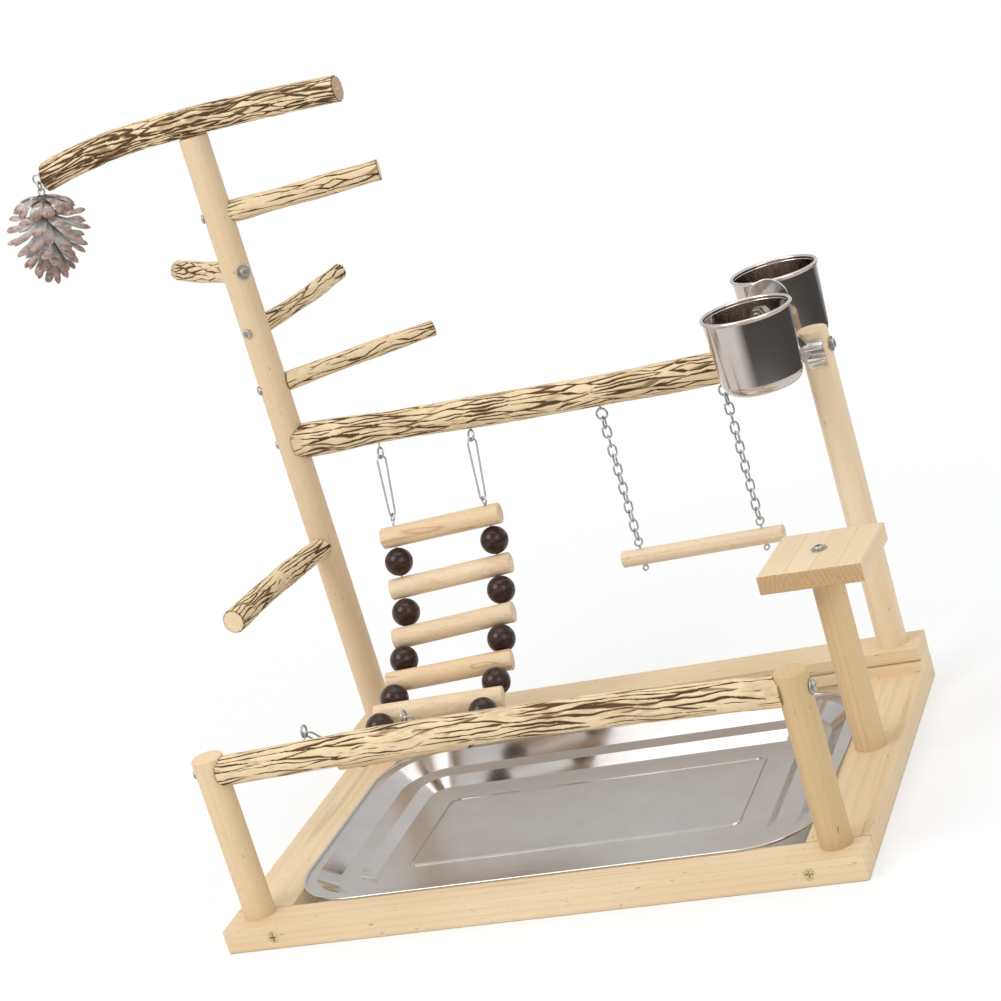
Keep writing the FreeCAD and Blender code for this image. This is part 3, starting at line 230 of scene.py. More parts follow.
def polished_steel(name, colour, roughness, streak=0.04, seed=0.0, flat_roughness=None):
    """Pressed stainless sheet with faint polishing haze, duller on its level faces if asked."""
    s = Shader(name)
    haze = s.noise(s.position(move=(seed, seed, seed)), 38.0, 5.0, 0.6)
    fine = s.noise(s.position(scale=(1, 14, 1), move=(seed, 0, 0)), 300.0, 3.0)
    rough = s.math("ADD", s.ramp(haze, (0.3, roughness), (0.75, roughness + streak)),
                   s.math("MULTIPLY", fine, streak * 0.5))
    if flat_roughness:
        normal = s.add("SeparateXYZ", Vector=s.add("TexCoord").outputs["Normal"])
        level = s.ramp(normal.outputs["Z"], (0.97, 0.0), (0.999, 1.0))
        extra = s.math("MULTIPLY", level, flat_roughness - roughness)
        rough = s.math("ADD", rough, extra)
    tint = s.blend(s.ramp(haze, (0.35, 0.0), (0.7, 0.6)), colour,
                   rgb(colour[0] * 0.9, colour[1] * 0.885, colour[2] * 0.89))
    ripple = s.noise(s.position(), 14.0, 2.0)
    return s.finish(Base_Color=tint, Metallic=1.0, Roughness=rough,
                    Normal=s.bump(ripple, 0.12, 0.35 * MM))


def plated_wire(name, colour, roughness, grime):
    """Bright zinc plate with darker grime in patches."""
    s = Shader(name)
    patch = s.noise(s.position(), 240.0, 4.0, 0.65)
    tone = s.blend(s.ramp(patch, (0.4, 0.0), (0.75, grime)), colour,
                   rgb(colour[0] * 0.32, colour[1] * 0.3, colour[2] * 0.28))
    rough = s.ramp(patch, (0.3, roughness), (0.8, roughness + 0.2))
    return s.finish(Base_Color=tone, Metallic=1.0, Roughness=rough,
                    Normal=s.bump(patch, 0.15, 0.05 * MM))


def lacquered_bead(name):
    """Dark stained wood under gloss lacquer, with reddish light rings."""
    s = Shader(name)
    rings = s.add("TexWave", {"wave_type": "BANDS", "bands_direction": "Z"},
                  Vector=s.position(turn=(0.5, 0.35, 0)), Scale=45.0, Distortion=5.0,
                  Detail=1.0, Detail_Scale=0.8).outputs["Fac"]
    tone = s.blend(s.ramp(rings, (0.3, 0.0), (0.9, 0.8)), rgb(0.014, 0.006, 0.004),
                   rgb(0.048, 0.014, 0.007))
    tone = s.blend(s.ramp(s.noise(s.position(), 90.0, 1.0), (0.45, 0.0), (0.75, 0.6)),
                   tone, rgb(0.06, 0.018, 0.008))
    return s.finish(Base_Color=tone, Roughness=0.4, Coat_Weight=0.55, Coat_Roughness=0.04,
                    Specular_IOR_Level=0.08)


def cone_scale(name):
    """Weathered white-washed scales with reddish-brown tips, and painted shade towards the core and the scale
    roots.
    """
    s = Shader(name)
    tip = s.attribute("tip")
    washed = s.attribute("washed")
    wash = s.noise(s.position(), 190.0, 5.0, 0.7)
    fibre = s.noise(s.position(scale=(1, 1, 0.3)), 900.0, 3.0)
    chalk = s.math("ADD", wash, s.math("MULTIPLY", washed, 0.35))
    grey = s.blend(s.ramp(chalk, (0.36, 0.0), (0.66, 1.0)), rgb(0.24, 0.2, 0.175),
                   rgb(0.8, 0.77, 0.755))
    red = s.blend(s.ramp(wash, (0.42, 0.0), (0.76, 0.8)), rgb(0.25, 0.125, 0.08),
                  rgb(0.74, 0.6, 0.54))
    tone = s.blend(s.ramp(tip, (0.6, 0.0), (0.9, 0.9)), grey, red)
    tone = s.blend(s.ramp(fibre, (0.52, 0.0), (0.85, 0.35)), tone, rgb(0.12, 0.085, 0.07))
    # painted shade: the inner value darkens the core and the scale roots, deep in the cone where shade falls
    tone = s.blend(s.attribute("inner"), tone, rgb(0.075, 0.06, 0.052))
    return s.finish(Base_Color=tone, Roughness=s.ramp(wash, (0.3, 0.68), (0.8, 0.85)),
                    Specular_IOR_Level=0.2, Normal=s.bump(fibre, 0.4, 0.2 * MM))


PINE_LIGHT = rgb(0.81, 0.645, 0.43)
PINE_DARK = rgb(0.67, 0.47, 0.255)
POST_LIGHT = rgb(0.81, 0.64, 0.435)
POST_DARK = rgb(0.68, 0.485, 0.275)
YELLOW_LIGHT = rgb(0.74, 0.555, 0.32)
YELLOW_DARK = rgb(0.6, 0.39, 0.19)
# node: light tone, dark tone, grain, offset of the pith, line gap, contrast, streaks
PINE_PIECES = {
    "front_rail": (PINE_LIGHT, PINE_DARK, "X", (0, 0.05, 0.07), 5.5, 0.6, 0.5),
    "left_board": (rgb(0.8, 0.63, 0.41), PINE_DARK, "Y", (0.03, 0, 0.09), 6.0, 0.5, 0.3),
    "right_board": (rgb(0.8, 0.635, 0.415), PINE_DARK, "Y", (-0.05, 0, 0.06), 6.5, 0.55, 0.4),
    "back_board": (rgb(0.77, 0.6, 0.39), PINE_DARK, "X", (0, 0.02, 0.08), 5.0, 0.5, 0.2),
    "back_riser": (rgb(0.82, 0.64, 0.41), PINE_DARK, "X", (0, 0.07, 0.03), 5.0, 0.45, 0.2),
    "back_rail": (rgb(0.79, 0.62, 0.41), PINE_DARK, "X", (0, 0.06, 0.05), 5.0, 0.6, 0.5),
    "tall_post": (rgb(0.755, 0.585, 0.39), POST_DARK, "Z", (0.045, 0.03, 0), 6.0, 0.4, 0.0),
    "right_post": (rgb(0.9, 0.735, 0.52), POST_DARK, "Z", (0.03, -0.05, 0), 6.5, 0.5, 0.2),
    "platform_post": (YELLOW_LIGHT, YELLOW_DARK, "Z", (-0.03, 0.03, 0), 5.0, 0.7, 0.3),
    "front_left_post": (rgb(0.79, 0.61, 0.375), POST_DARK, "Z", (0.04, -0.03, 0), 6.0, 0.5, 0.1),
    "front_right_post": (rgb(0.63, 0.455, 0.235), rgb(0.54, 0.35, 0.17), "Z", (-0.05, -0.02, 0), 5.5, 0.45, 0.2),
}
board_finish = {}
for label, (light, dark, grain, pith, gap, contrast, knots) in PINE_PIECES.items():
    name = label.replace("_", " ").title().replace(" ", "") + "Pine"
    board_finish[label] = pine(name, light, dark, grain, label, pith, gap * MM, contrast, knots)
BEECH_DARK = rgb(0.71, 0.5, 0.3)
beech_finishes = [beech("BeechPlain", rgb(0.8, 0.625, 0.43), BEECH_DARK, 1.3),
                  beech("BeechStreaked", rgb(0.79, 0.6, 0.385), BEECH_DARK, 2.3, 0.5),
                  beech("BeechPale", rgb(0.83, 0.66, 0.46), BEECH_DARK, 3.3)]
perch_finish = carved_branch("CarvedBranch", rgb(0.83, 0.665, 0.43), rgb(0.66, 0.47, 0.26),
                             rgb(0.045, 0.022, 0.01))
tray_finish = polished_steel("TraySteel", rgb(0.53, 0.505, 0.49), 0.1, 0.05, 0.0, 0.27)
cup_finish = polished_steel("CupSteel", rgb(0.58, 0.53, 0.49), 0.1, 0.04, 3.1)
chrome_finish = polished_steel("BracketChrome", rgb(0.62, 0.605, 0.59), 0.1, 0.05, 5.7)
wire_finish = plated_wire("ZincWire", rgb(0.5, 0.5, 0.505), 0.2, 0.6)
screw_finish = plated_wire("ZincScrew", rgb(0.5, 0.48, 0.44), 0.3, 0.8)
brass_finish = plated_wire("YellowScrew", rgb(0.72, 0.58, 0.33), 0.28, 0.6)
bead_finish = lacquered_bead("LacqueredBead")
cone_finish = cone_scale("ConeScale")

slot_finish = {"tray_steel": tray_finish, "cup_steel": cup_finish, "bead_wood": bead_finish,
               "bracket_chrome": chrome_finish, "zinc_wire": wire_finish,
               "zinc_screw": screw_finish, "brassy_screw": brass_finish, "cone": cone_finish,
               "perch_wood": perch_finish, "dowel_wood": beech_finishes[2]}
node_slot = {part["node"]: part["material_slot"] for part in frame["record"]["subparts"]}


def paint(thing, finish):
    thing.data.materials.clear()
    thing.data.materials.append(finish)
    for polygon in thing.data.polygons:
        polygon.material_index = 0


for label, thing in frame["nodes"].items():
    if label.startswith("ladder_rung"):
        paint(thing, beech_finishes[int(label[-1]) % 3])
    else:
        paint(thing, board_finish.get(label) or slot_finish.get(node_slot[label], screw_finish))


# ------------------------------------------------------------------ mesh helpers


def new_piece(name, vertices, faces, finish, body, replaced=(), values=None, smooth=True):
    """A mesh riding on a body and per-vertex values for its shader."""
    mesh = bpy.data.meshes.new(name)
    mesh.from_pydata([tuple(v) for v in vertices], [], [tuple(f) for f in faces])
    mesh.validate()
    for key, data in (values or {}).items():
        data = np.asarray(data, np.float32)
        kind = "FLOAT_VECTOR" if data.ndim == 2 else "FLOAT"
        layer = mesh.attributes.new(key, kind, "POINT")
        layer.data.foreach_set("vector" if data.ndim == 2 else "value", data.ravel())
    mesh.polygons.foreach_set("use_smooth", [smooth] * len(mesh.polygons))
    mesh.materials.append(finish)
    thing = bpy.data.objects.new(name, mesh)
    bpy.context.scene.collection.objects.link(thing)
    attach(thing, body)
    if replaced:
        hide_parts(*replaced)
    return thing


def grid_faces(rows, columns, closed=True):
    """Faces of a grid of rows x columns vertices, wrapped round its columns."""
    last = columns if closed else columns - 1
    return [(r * columns + c, r * columns + (c + 1) % columns,
             (r + 1) * columns + (c + 1) % columns, (r + 1) * columns + c)
            for r in range(rows - 1) for c in range(last)]


# ------------------------------------------------------------------ carved perches

LENS_PITCH = 1.85
POST_NODES = ("tall_post", "right_post", "front_left_post", "front_right_post")
post_axis = {}
for label in POST_NODES:
    low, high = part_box(label)
    post_axis[label] = ((low + high) / 2, (high.x - low.x) / 2, high.z)

# islands between grooves: length, width; groove half width; share of grooves; brown patches
CARVING = {
    "top_perch": (32.0, 3.0, 0.85, 1.1, 0.9),
    "upper_perch": (44.0, 3.6, 0.42, 0.72, 0.1),
    "back_left_perch": (26.0, 3.4, 0.42, 0.75, 0.1),
    "back_right_perch": (38.0, 3.4, 0.42, 0.76, 0.15),
    "middle_perch": (42.0, 3.4, 0.44, 0.78, 0.25),
    "front_left_perch": (38.0, 3.2, 0.46, 0.8, 0.15),
    "main_perch": (48.0, 3.5, 0.56, 0.84, 0.35),
    "front_perch": (80.0, 3.6, 0.48, 0.78, 0.35),
}


def axis_of(label):
    """Rough straight axis of a perch: start, end, and whether each end meets a post."""
    low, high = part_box(label)
    middle = (low + high) / 2
    mesh = frame["nodes"][label].data
    points = np.array([v.co for v in mesh.vertices], float)
    if label in ("main_perch", "front_perch", "top_perch"):
        ends = []
        for x in (low.x, high.x):
            near = points[np.abs(points[:, 0] - x) < 12 * MM]
            ends.append(Vector((x, middle.y, (near[:, 2].min() + near[:, 2].max()) / 2)))
        return ends[0], ends[1], label != "top_perch"
    root = post_axis["tall_post"][0]
    flat = points[:, :2] - np.array(root[:2])
    reach = np.linalg.norm(flat, axis=1)
    far = points[reach > reach.max() - 3 * MM]
    tip = Vector(far.mean(0))
    start = Vector((root.x, root.y, middle.z))
    near = points[reach < reach.min() + 12 * MM]
    start.z = (near[:, 2].min() + near[:, 2].max()) / 2
    direction = (tip - start).normalized()
    tip = start + direction * ((np.array(tip) - np.array(start)) @ np.array(direction))
    return start, tip, None


def measured_line(label, stations=23):
    """Centre line and radius of a perch's solid, from rays cast at it from all round."""
    start, end, level = axis_of(label)
    along = (end - start).normalized()
    side = Z_AXIS.cross(along).normalized()
    up = along.cross(side)
    mesh = frame["nodes"][label].data
    tree = BVHTree.FromPolygons([v.co for v in mesh.vertices],
                                [p.vertices for p in mesh.polygons])
    length = (end - start).length
    first = 0.0 if label == "top_perch" else 24 * MM
    last = length - (24 * MM if level else 1.5 * MM)
    rows = []
    for place in np.linspace(max(first, 1.5 * MM), last, stations):
        guess = start + along * place
        hits = []
        for k in range(24):
            turn = 2 * math.pi * k / 24
            ray = side * math.cos(turn) + up * math.sin(turn)
            hit = tree.ray_cast(guess + ray * 0.05, -ray, 0.05)[0]
            if hit is not None:
                off = hit - guess
                hits.append((off.dot(side), off.dot(up)))
        hits = np.array(hits)
        for _ in range(3):
            table = np.column_stack([2 * hits, np.ones(len(hits))])
            fit = np.linalg.lstsq(table, (hits ** 2).sum(1), rcond=None)[0]
            radius = math.sqrt(max(fit[2] + fit[0] ** 2 + fit[1] ** 2, 1e-8))
            miss = np.abs(np.hypot(hits[:, 0] - fit[0], hits[:, 1] - fit[1]) - radius)
            hits = hits[miss < max(0.25 * MM, np.median(miss) * 3)]
        rows.append((place, fit[0], fit[1], radius))
    rows = np.array(rows)
    return start, along, side, up, length, rows


def carve_height(rng, along_mm, round_mm, round_length, style):
    """Depth from 0 to 1 in a net of long grooves round lens-shaped islands."""
    island, width, half_groove, share, _ = style
    columns = 2 * max(3, round(round_length / width / 2))
    unit_round = round_length / columns
    unit_along = island / LENS_PITCH
    rows = int(along_mm.max() / island) + 5
    jitter = np.array([[(rng.uniform(-0.42, 0.42), rng.uniform(-0.36, 0.36))
                        for _ in range(columns)] for _ in range(rows)])
    sway = smooth_noise(rng, along_mm, round_mm, 26, 9, round_length) - 0.5
    ripple = smooth_noise(rng, along_mm, round_mm, 7, 4, round_length) - 0.5
    stretch = smooth_noise(rng, along_mm, round_mm, 40, 14, round_length) - 0.5
    a = (along_mm + 16 * stretch) / unit_along
    r = (round_mm + 4.5 * sway + 1.1 * ripple) / unit_round
    base_column = np.floor(r).astype(int)
    first = np.full(a.shape, 99.0)
    second = np.full(a.shape, 99.0)
    spot = np.zeros(a.shape + (2,))
    other = np.zeros(a.shape + (2,))
    for dc in (-2, -1, 0, 1, 2):
        column = base_column + dc
        wrapped = column % columns
        shift = 0.5 * (wrapped % 2)
        base_row = np.floor(a / LENS_PITCH - shift).astype(int)
        for dr in (-1, 0, 1, 2):
            row = np.clip(base_row + dr + 2, 0, rows - 1)
            nudge = jitter[row, wrapped]
            seed_a = (base_row + dr + shift + nudge[..., 0]) * LENS_PITCH
            seed_r = column + 0.5 + nudge[..., 1]
            gap = (a - seed_a) ** 2 + (r - seed_r) ** 2
            place = np.stack([seed_a, seed_r], -1)
            nearer = gap < first
            next_best = ~nearer & (gap < second)
            other = np.where(nearer[..., None], spot, np.where(next_best[..., None], place, other))
            second = np.where(nearer, first, np.where(next_best, gap, second))
            spot = np.where(nearer[..., None], place, spot)
            first = np.where(nearer, gap, first)
    apart = np.maximum(np.linalg.norm(other - spot, axis=-1), 0.05)
    to_edge = (second - first) / (2 * apart) * unit_round
    heavy = smooth_noise(rng, along_mm, round_mm, 30, 12, round_length)
    local = smooth_noise(rng, along_mm, round_mm, 15, 3.4, round_length)
    # every edge has its own width, and the ones that run across the grain stay shallow
    both = spot + other
    luck = np.sin(both[..., 0] * 12.9898 + both[..., 1] * 78.233) * 43758.5453
    luck = luck - np.floor(luck)
    lengthwise = np.clip((np.abs((other - spot)[..., 1]) / apart - 0.2) * 2.5, 0, 1)
    groove = half_groove * (0.25 + 1.1 * heavy ** 2 + 1.3 * local ** 2) * (0.55 + 0.9 * luck)
    kept = np.clip((local + 0.5 * heavy + 0.5 * luck + share - 1.3) * 4, 0, 1) * lengthwise
    depth = np.clip(1.45 - to_edge / np.maximum(groove, 0.05), 0, 1) * kept
    hair = smooth_noise(rng, along_mm, round_mm, 10, 0.9, round_length)
    return np.maximum(depth, np.clip((hair - 0.83) * 5, 0, 1) * 0.6)


def smooth_noise(rng, along, around, cell_a, cell_r, round_length):
    """Soft random patches on a perch's skin, closed round it."""
    rows = int(along.max() / cell_a) + 3
    columns = max(3, int(round_length / cell_r))
    table = np.array([[rng.random() for _ in range(columns)] for _ in range(rows)])
    a = np.clip(along / cell_a, 0, rows - 2)
    r = (around / round_length * columns) % columns
    i = a.astype(int)
    j = r.astype(int) % columns
    fa = a - i
    fr = r - np.floor(r)
    fa = fa * fa * (3 - 2 * fa)
    fr = fr * fr * (3 - 2 * fr)
    k = (j + 1) % columns
    low = table[i, j] * (1 - fr) + table[i, k] * fr
    high = table[i + 1, j] * (1 - fr) + table[i + 1, k] * fr
    return low * (1 - fa) + high * fa


def build_perch(label, seed):
    rng = random.Random(seed)
    start, along, side, up, length, rows = measured_line(label)
    radius_mean = rows[:, 3].mean()
    fit_side = np.polyfit(rows[:, 0], rows[:, 1], 4)
    fit_up = np.polyfit(rows[:, 0], rows[:, 2], 4)
    round_length = 2 * math.pi * radius_mean / MM
    columns = int(round_length / 0.52)
    stations = int(length / (0.8 * MM))
    angles = np.arange(columns) * 2 * math.pi / columns
    begin = np.zeros(columns)
    end = np.full(columns, length)
    across = np.cos(angles) * radius_mean
    if label == "top_perch":
        pass
    elif label in ("main_perch", "front_perch"):
        root = post_axis["tall_post" if label == "main_perch" else "front_left_post"]
        far = post_axis["right_post" if label == "main_perch" else "front_right_post"]
        for i, off in enumerate(across):
            inset = math.sqrt(max(root[1] ** 2 - off ** 2, 0))
            begin[i] = max(0.0, root[0].x + inset - start.x)
            end[i] = min(length, far[0].x - inset - start.x)
    else:
        seat = 7 * MM
        for i, off in enumerate(across):
            begin[i] = max(seat, math.sqrt(max(post_axis["tall_post"][1] ** 2 - off ** 2, 0)))
    share = np.linspace(0, 1, stations)
    place = begin[None, :] + (end - begin)[None, :] * share[:, None]
    turn = np.broadcast_to(angles[None, :], place.shape)
    centre_side = np.polyval(fit_side, place)
    centre_up = np.polyval(fit_up, place)
    radius = np.interp(place, rows[:, 0], rows[:, 3])
    along_mm = place / MM
    round_mm = turn * radius_mean / MM
    depth = carve_height(rng, along_mm, round_mm, round_length, CARVING[label])
    patch = smooth_noise(rng, along_mm, round_mm, 34, 14, round_length)
    fine = smooth_noise(rng, along_mm, round_mm, 7, 2.2, round_length)
    stain = np.clip((patch - 0.62) * 4, 0, 1) * np.clip((fine - 0.25) * 2.2, 0, 1)
    stain = stain * CARVING[label][4]
    swell = (smooth_noise(rng, along_mm, round_mm, 22, 18, round_length) - 0.5) * 0.5 * MM
    radius = radius + swell - depth * 0.75 * MM - 0.25 * MM * fine
    taper = np.minimum(1, np.minimum(along_mm - along_mm[0], along_mm[-1] - along_mm) / 0.9)
    radius = radius - (1 - taper) * 0.35 * MM
    base = np.array(start)[None, None, :] + place[..., None] * np.array(along)
    skin = base + (centre_side + radius * np.cos(turn))[..., None] * np.array(side) \
        + (centre_up + radius * np.sin(turn))[..., None] * np.array(up)
    carve = np.clip(depth + (fine - 0.5) * 0.12 * (depth > 0.02), 0, 1)
    edge = np.clip(1 - np.minimum(place - begin, end - place) / (1.1 * MM), 0, 1)
    carve = np.maximum(carve, edge * 0.75)
    grain = np.stack([along_mm * 0.09, np.cos(turn) * round_length / 7,
                      np.sin(turn) * round_length / 7], -1)
    vertices = [skin.reshape(-1, 3)]
    layers = {"carve": [carve.ravel()], "stain": [stain.ravel()],
              "cut": [np.zeros(carve.size)], "ring": [np.zeros(carve.size)],
              "grain": [grain.reshape(-1, 3)]}
    faces = grid_faces(stations, columns)
    total = carve.size
    for row, at_start in ((0, True), (stations - 1, False)):
        previous = row * columns
        centre_place = begin.min() if at_start else end.max()
        rim = skin[row]
        hub = rim.mean(0)
        for step, inward in enumerate((0.94, 0.72, 0.45, 0.2)):
            ring_points = hub + (rim - hub) * inward
            wave = np.array([rng.uniform(-0.05, 0.05) * MM for _ in range(columns)])
            ring_points = ring_points + wave[:, None] * np.array(along)
            vertices.append(ring_points)
            carved_end = label == "top_perch" and not at_start
            layers["carve"].append(np.full(columns, 0.35 if step == 0 else 0.0))
            layers["stain"].append(np.full(columns, 0.9 if carved_end else 0.0))
            layers["cut"].append(np.full(columns, 0.35 if carved_end else 0.55 if step == 0 else 1.0))
            layers["ring"].append(np.full(columns, inward * radius_mean / MM))
            layers["grain"].append(ring_points / MM * 0.3)
            for c in range(columns):
                d = (c + 1) % columns
                quad = (previous + c, total + c, total + d, previous + d)
                faces.append(quad if at_start else quad[::-1])
            previous = total
            total += columns
        vertices.append(hub[None, :])
        layers["carve"].append(np.zeros(1))
        layers["stain"].append(np.zeros(1))
        layers["cut"].append(np.ones(1))
        layers["ring"].append(np.zeros(1))
        layers["grain"].append(hub[None, :] / MM * 0.3)
        for c in range(columns):
            d = (c + 1) % columns
            triangle = (previous + c, total, previous + d)
            faces.append(triangle if at_start else triangle[::-1])
        total += 1
    values = {key: np.concatenate(parts) for key, parts in layers.items()}
    return new_piece(label + "_carved", np.concatenate(vertices), faces, perch_finish, "stand",
                     (label,), values)


for seed, label in enumerate(CARVING, 41):
    build_perch(label, seed)

# ------------------------------------------------------------------ platform of four glued strips

platform_low, platform_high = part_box("platform_board")
PLATFORM_TURN = math.radians(-3.5)
STRIPS = 4


def glued_platform():
    """Four strips side by side with thin glue lines, each with its own tone."""
    middle = (platform_low + platform_high) / 2
    span = (platform_high.x - platform_low.x)
    side = span / (math.cos(PLATFORM_TURN) + abs(math.sin(PLATFORM_TURN)))
    thick = platform_high.z - platform_low.z
    edges = [-side / 2, -side * 0.225, side * 0.015, side * 0.265, side / 2]
    turn = Matrix.Rotation(PLATFORM_TURN, 3, "Z")
    vertices = []
    faces = []
    strip_value = []
    local = []
    for number, (x0, x1) in enumerate(zip(edges[:-1], edges[1:])):
        outer = 1.3 * MM
        seam = 0.12 * MM
        left = outer if number == 0 else seam
        right = outer if number == STRIPS - 1 else seam
        # rings of the bevelled strip, from the underside up
        levels = [(0.0, outer), (outer * 0.3, outer * 0.3), (outer, 0.0),
                  (thick - outer, 0.0), (thick - outer * 0.3, outer * 0.3), (thick, outer)]
        base = len(vertices)
        runs = 12
        for height, inset in levels:
            near_left = min(inset, left)
            near_right = min(inset, right)
            xs = np.linspace(x0 + near_left, x1 - near_right, 4)
            ys = np.linspace(-side / 2 + inset, side / 2 - inset, runs)
            loop = [(xs[i], ys[0]) for i in range(3)] + [(xs[3], y) for y in ys[:-1]]
            loop += [(xs[3 - i], ys[-1]) for i in range(3)] + [(xs[0], y) for y in ys[:0:-1]]
            for x, y in loop:
                spot = turn @ Vector((x, y, 0)) + Vector((middle.x, middle.y,
                                                          platform_low.z + height))
                vertices.append(spot)
                strip_value.append(number)
                local.append((x, y, height))
        count = len(loop)
        for level in range(len(levels) - 1):
            for i in range(count):
                j = (i + 1) % count
                a = base + level * count
                b = a + count
                faces.append((a + i, a + j, b + j, b + i))
        faces.append(tuple(base + i for i in reversed(range(count))))
        top = base + (len(levels) - 1) * count
        faces.append(tuple(top + i for i in range(count)))
    values = {"strip": strip_value, "board": np.array(local, float)}
    s = Shader("PlatformPine")
    strip = s.attribute("strip")
    board = s.add("Attribute", {"attribute_name": "board"}).outputs["Vector"]
    offset = s.add("CombineXYZ", X=s.math("MULTIPLY", strip, 0.37),
                   Z=s.math("MULTIPLY", strip, 0.11)).outputs[0]
    placed = s.add("VectorMath", {"operation": "ADD"})
    s.set(placed, 0, board)
    s.set(placed, 1, offset)
    stretched = s.add("Mapping", Vector=placed.outputs[0], Scale=(1, 0.05, 1)).outputs[0]
    rings = s.add("TexWave", {"wave_type": "RINGS", "rings_direction": "Y", "wave_profile": "SAW"},
                  Vector=stretched, Scale=85.0, Distortion=3.0, Detail=2.0,
                  Detail_Scale=0.5).outputs["Fac"]
    late = s.ramp(rings, (0.0, 0.05), (0.6, 0.1), (0.92, 0.8), (1.0, 0.1))
    tone = s.add("TexWhiteNoise", {"noise_dimensions": "1D"}, W=strip).outputs["Value"]
    light = s.blend(tone, rgb(0.83, 0.67, 0.46), rgb(0.78, 0.605, 0.395))
    colour = s.blend(s.math("MULTIPLY", late, 0.4), light, rgb(0.68, 0.48, 0.27))
    fibre = s.noise(s.add("Mapping", Vector=placed.outputs[0], Scale=(1, 0.02, 1)).outputs[0],
                    1500.0, 3.0, 0.7)
    colour = s.blend(s.ramp(fibre, (0.45, 0.0), (0.8, 0.3)), colour, rgb(0.66, 0.46, 0.26))
    facing = s.add("NewGeometry").outputs["Normal"]
    split = s.add("SeparateXYZ", Vector=facing)
    end_grain = s.math("GREATER_THAN", s.math("ABSOLUTE", split.outputs["Y"]), 0.6)
    pores = s.noise(placed.outputs[0], 700.0, 3.0, 0.7)
    end_tone = s.blend(s.math("MULTIPLY", late, 0.65), rgb(0.6, 0.4, 0.21), rgb(0.4, 0.235, 0.105))
    end_tone = s.blend(s.ramp(pores, (0.45, 0.0), (0.75, 0.6)), end_tone, rgb(0.38, 0.22, 0.1))
    colour = s.blend(end_grain, colour, end_tone)
    finish = s.finish(Base_Color=colour, Roughness=0.58, Specular_IOR_Level=0.3,
                      Normal=s.bump(fibre, 0.25, 0.1 * MM))
    return new_piece("platform_strips", vertices, faces, finish, "stand",
                     ("platform_board",), values, smooth=False)


glued_platform()

# ------------------------------------------------------------------ cups

CUP_SHEET = 1.0 * MM
CUP_BEAD = 1.6 * MM
CUP_FOOT_ROUND = 9 * MM
CUP_TAPER = 3.2 * MM
CUP_SIDES = 128
CUP_GUARD = 0.15 * MM


def quarter(centre_radius, centre_height, radius, steps=14):
    """Profile points of a rounded foot, from the floor out to the wall."""
    angles = [math.pi / 2 * k / steps for k in range(steps + 1)]
    return [(centre_radius + radius * math.sin(a), centre_height - radius * math.cos(a))
            for a in angles]


def pressed_cup(node):
    """A turned steel cup: rolled rim, tapered wall, large rounding at its foot."""
    low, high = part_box(node)
    middle = (low + high) / 2
    rim_radius = (high.x - low.x) / 2 - CUP_BEAD
    foot_radius = rim_radius - CUP_TAPER
    rim_height = high.z - low.z - CUP_BEAD
    sheet = CUP_SHEET
    outer = quarter(foot_radius - CUP_FOOT_ROUND, CUP_FOOT_ROUND, CUP_FOOT_ROUND)
    inner = quarter(foot_radius - CUP_FOOT_ROUND, CUP_FOOT_ROUND, CUP_FOOT_ROUND - sheet)
    profile = [(foot_radius * k / 8, 0.0) for k in range(1, 6)] + outer
    # rings close to each end of the wall keep its shading straight up to the roundings
    heights = [CUP_FOOT_ROUND + CUP_GUARD, CUP_FOOT_ROUND + 4 * CUP_GUARD, rim_height * 0.5,
               rim_height - CUP_BEAD - 4 * CUP_GUARD, rim_height - CUP_BEAD - CUP_GUARD]
    wall = [(foot_radius + CUP_TAPER * height / rim_height, height) for height in heights]
    profile += wall
    for k in range(25):
        a = -math.pi / 2 + 2 * math.pi * k / 24 * 0.94
        profile.append((rim_radius + CUP_BEAD * math.cos(a), rim_height + CUP_BEAD * math.sin(a)))
    profile += [(radius - sheet, height) for radius, height in wall[::-1]]
    profile += inner[::-1] + [(foot_radius * k / 8, sheet) for k in range(5, 0, -1)]
    vertices = []
    for radius, height in profile:
        for k in range(CUP_SIDES):
            a = 2 * math.pi * k / CUP_SIDES
            vertices.append((middle.x + radius * math.cos(a), middle.y + radius * math.sin(a),
                             low.z + height))
    faces = grid_faces(len(profile), CUP_SIDES)
    for row, height, flip in ((0, 0.0, True), (len(profile) - 1, sheet, False)):
        hub = len(vertices)
        vertices.append((middle.x, middle.y, low.z + height))
        for k in range(CUP_SIDES):
            face = (row * CUP_SIDES + k, row * CUP_SIDES + (k + 1) % CUP_SIDES, hub)
            faces.append(face[::-1] if flip else face)
    faces = [face[::-1] for face in faces]
    return new_piece(node + "_pressed", vertices, faces, cup_finish, node, (node,))


for label in ("front_cup", "back_cup"):
    pressed_cup(label)

# ------------------------------------------------------------------ pine cone

cone_low, cone_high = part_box("pine_cone")
CONE_LEAN = math.radians(11)
CONE_SCALES = 62
CROWN_SCALES = 13
CONE_LENGTH = 83 * MM
CONE_LOOP_RADIUS = 3.0 * MM
CONE_WIRE = 0.8 * MM
# the loop stands at the top of the solid, over the middle of the leaning cone's crown
cone_loop = Vector((-0.391, (cone_low.y + cone_high.y) / 2,
                    cone_high.z - CONE_LOOP_RADIUS - CONE_WIRE))
# share of the way down: reach of the tips, how far they point down in degrees, half width
CONE_PROFILE = ((0.0, 28, 24, 6.0), (0.1, 28, 24, 6.0), (0.14, 36, 0, 5.3), (0.3, 38.2, 16, 5.5),
                (0.5, 35.5, 29, 5.4), (0.7, 28.5, 45, 5.1), (0.86, 19, 61, 4.6), (0.96, 10, 76, 3.7),
                (1.0, 4.5, 84, 2.8))


def cone_measures(down):
    """Reach, tilt and half width of the scale whose tip lies this far down the cone."""
    shares = [row[0] for row in CONE_PROFILE]
    return [float(np.interp(down, shares, [row[k] for row in CONE_PROFILE])) for k in (1, 2, 3)]


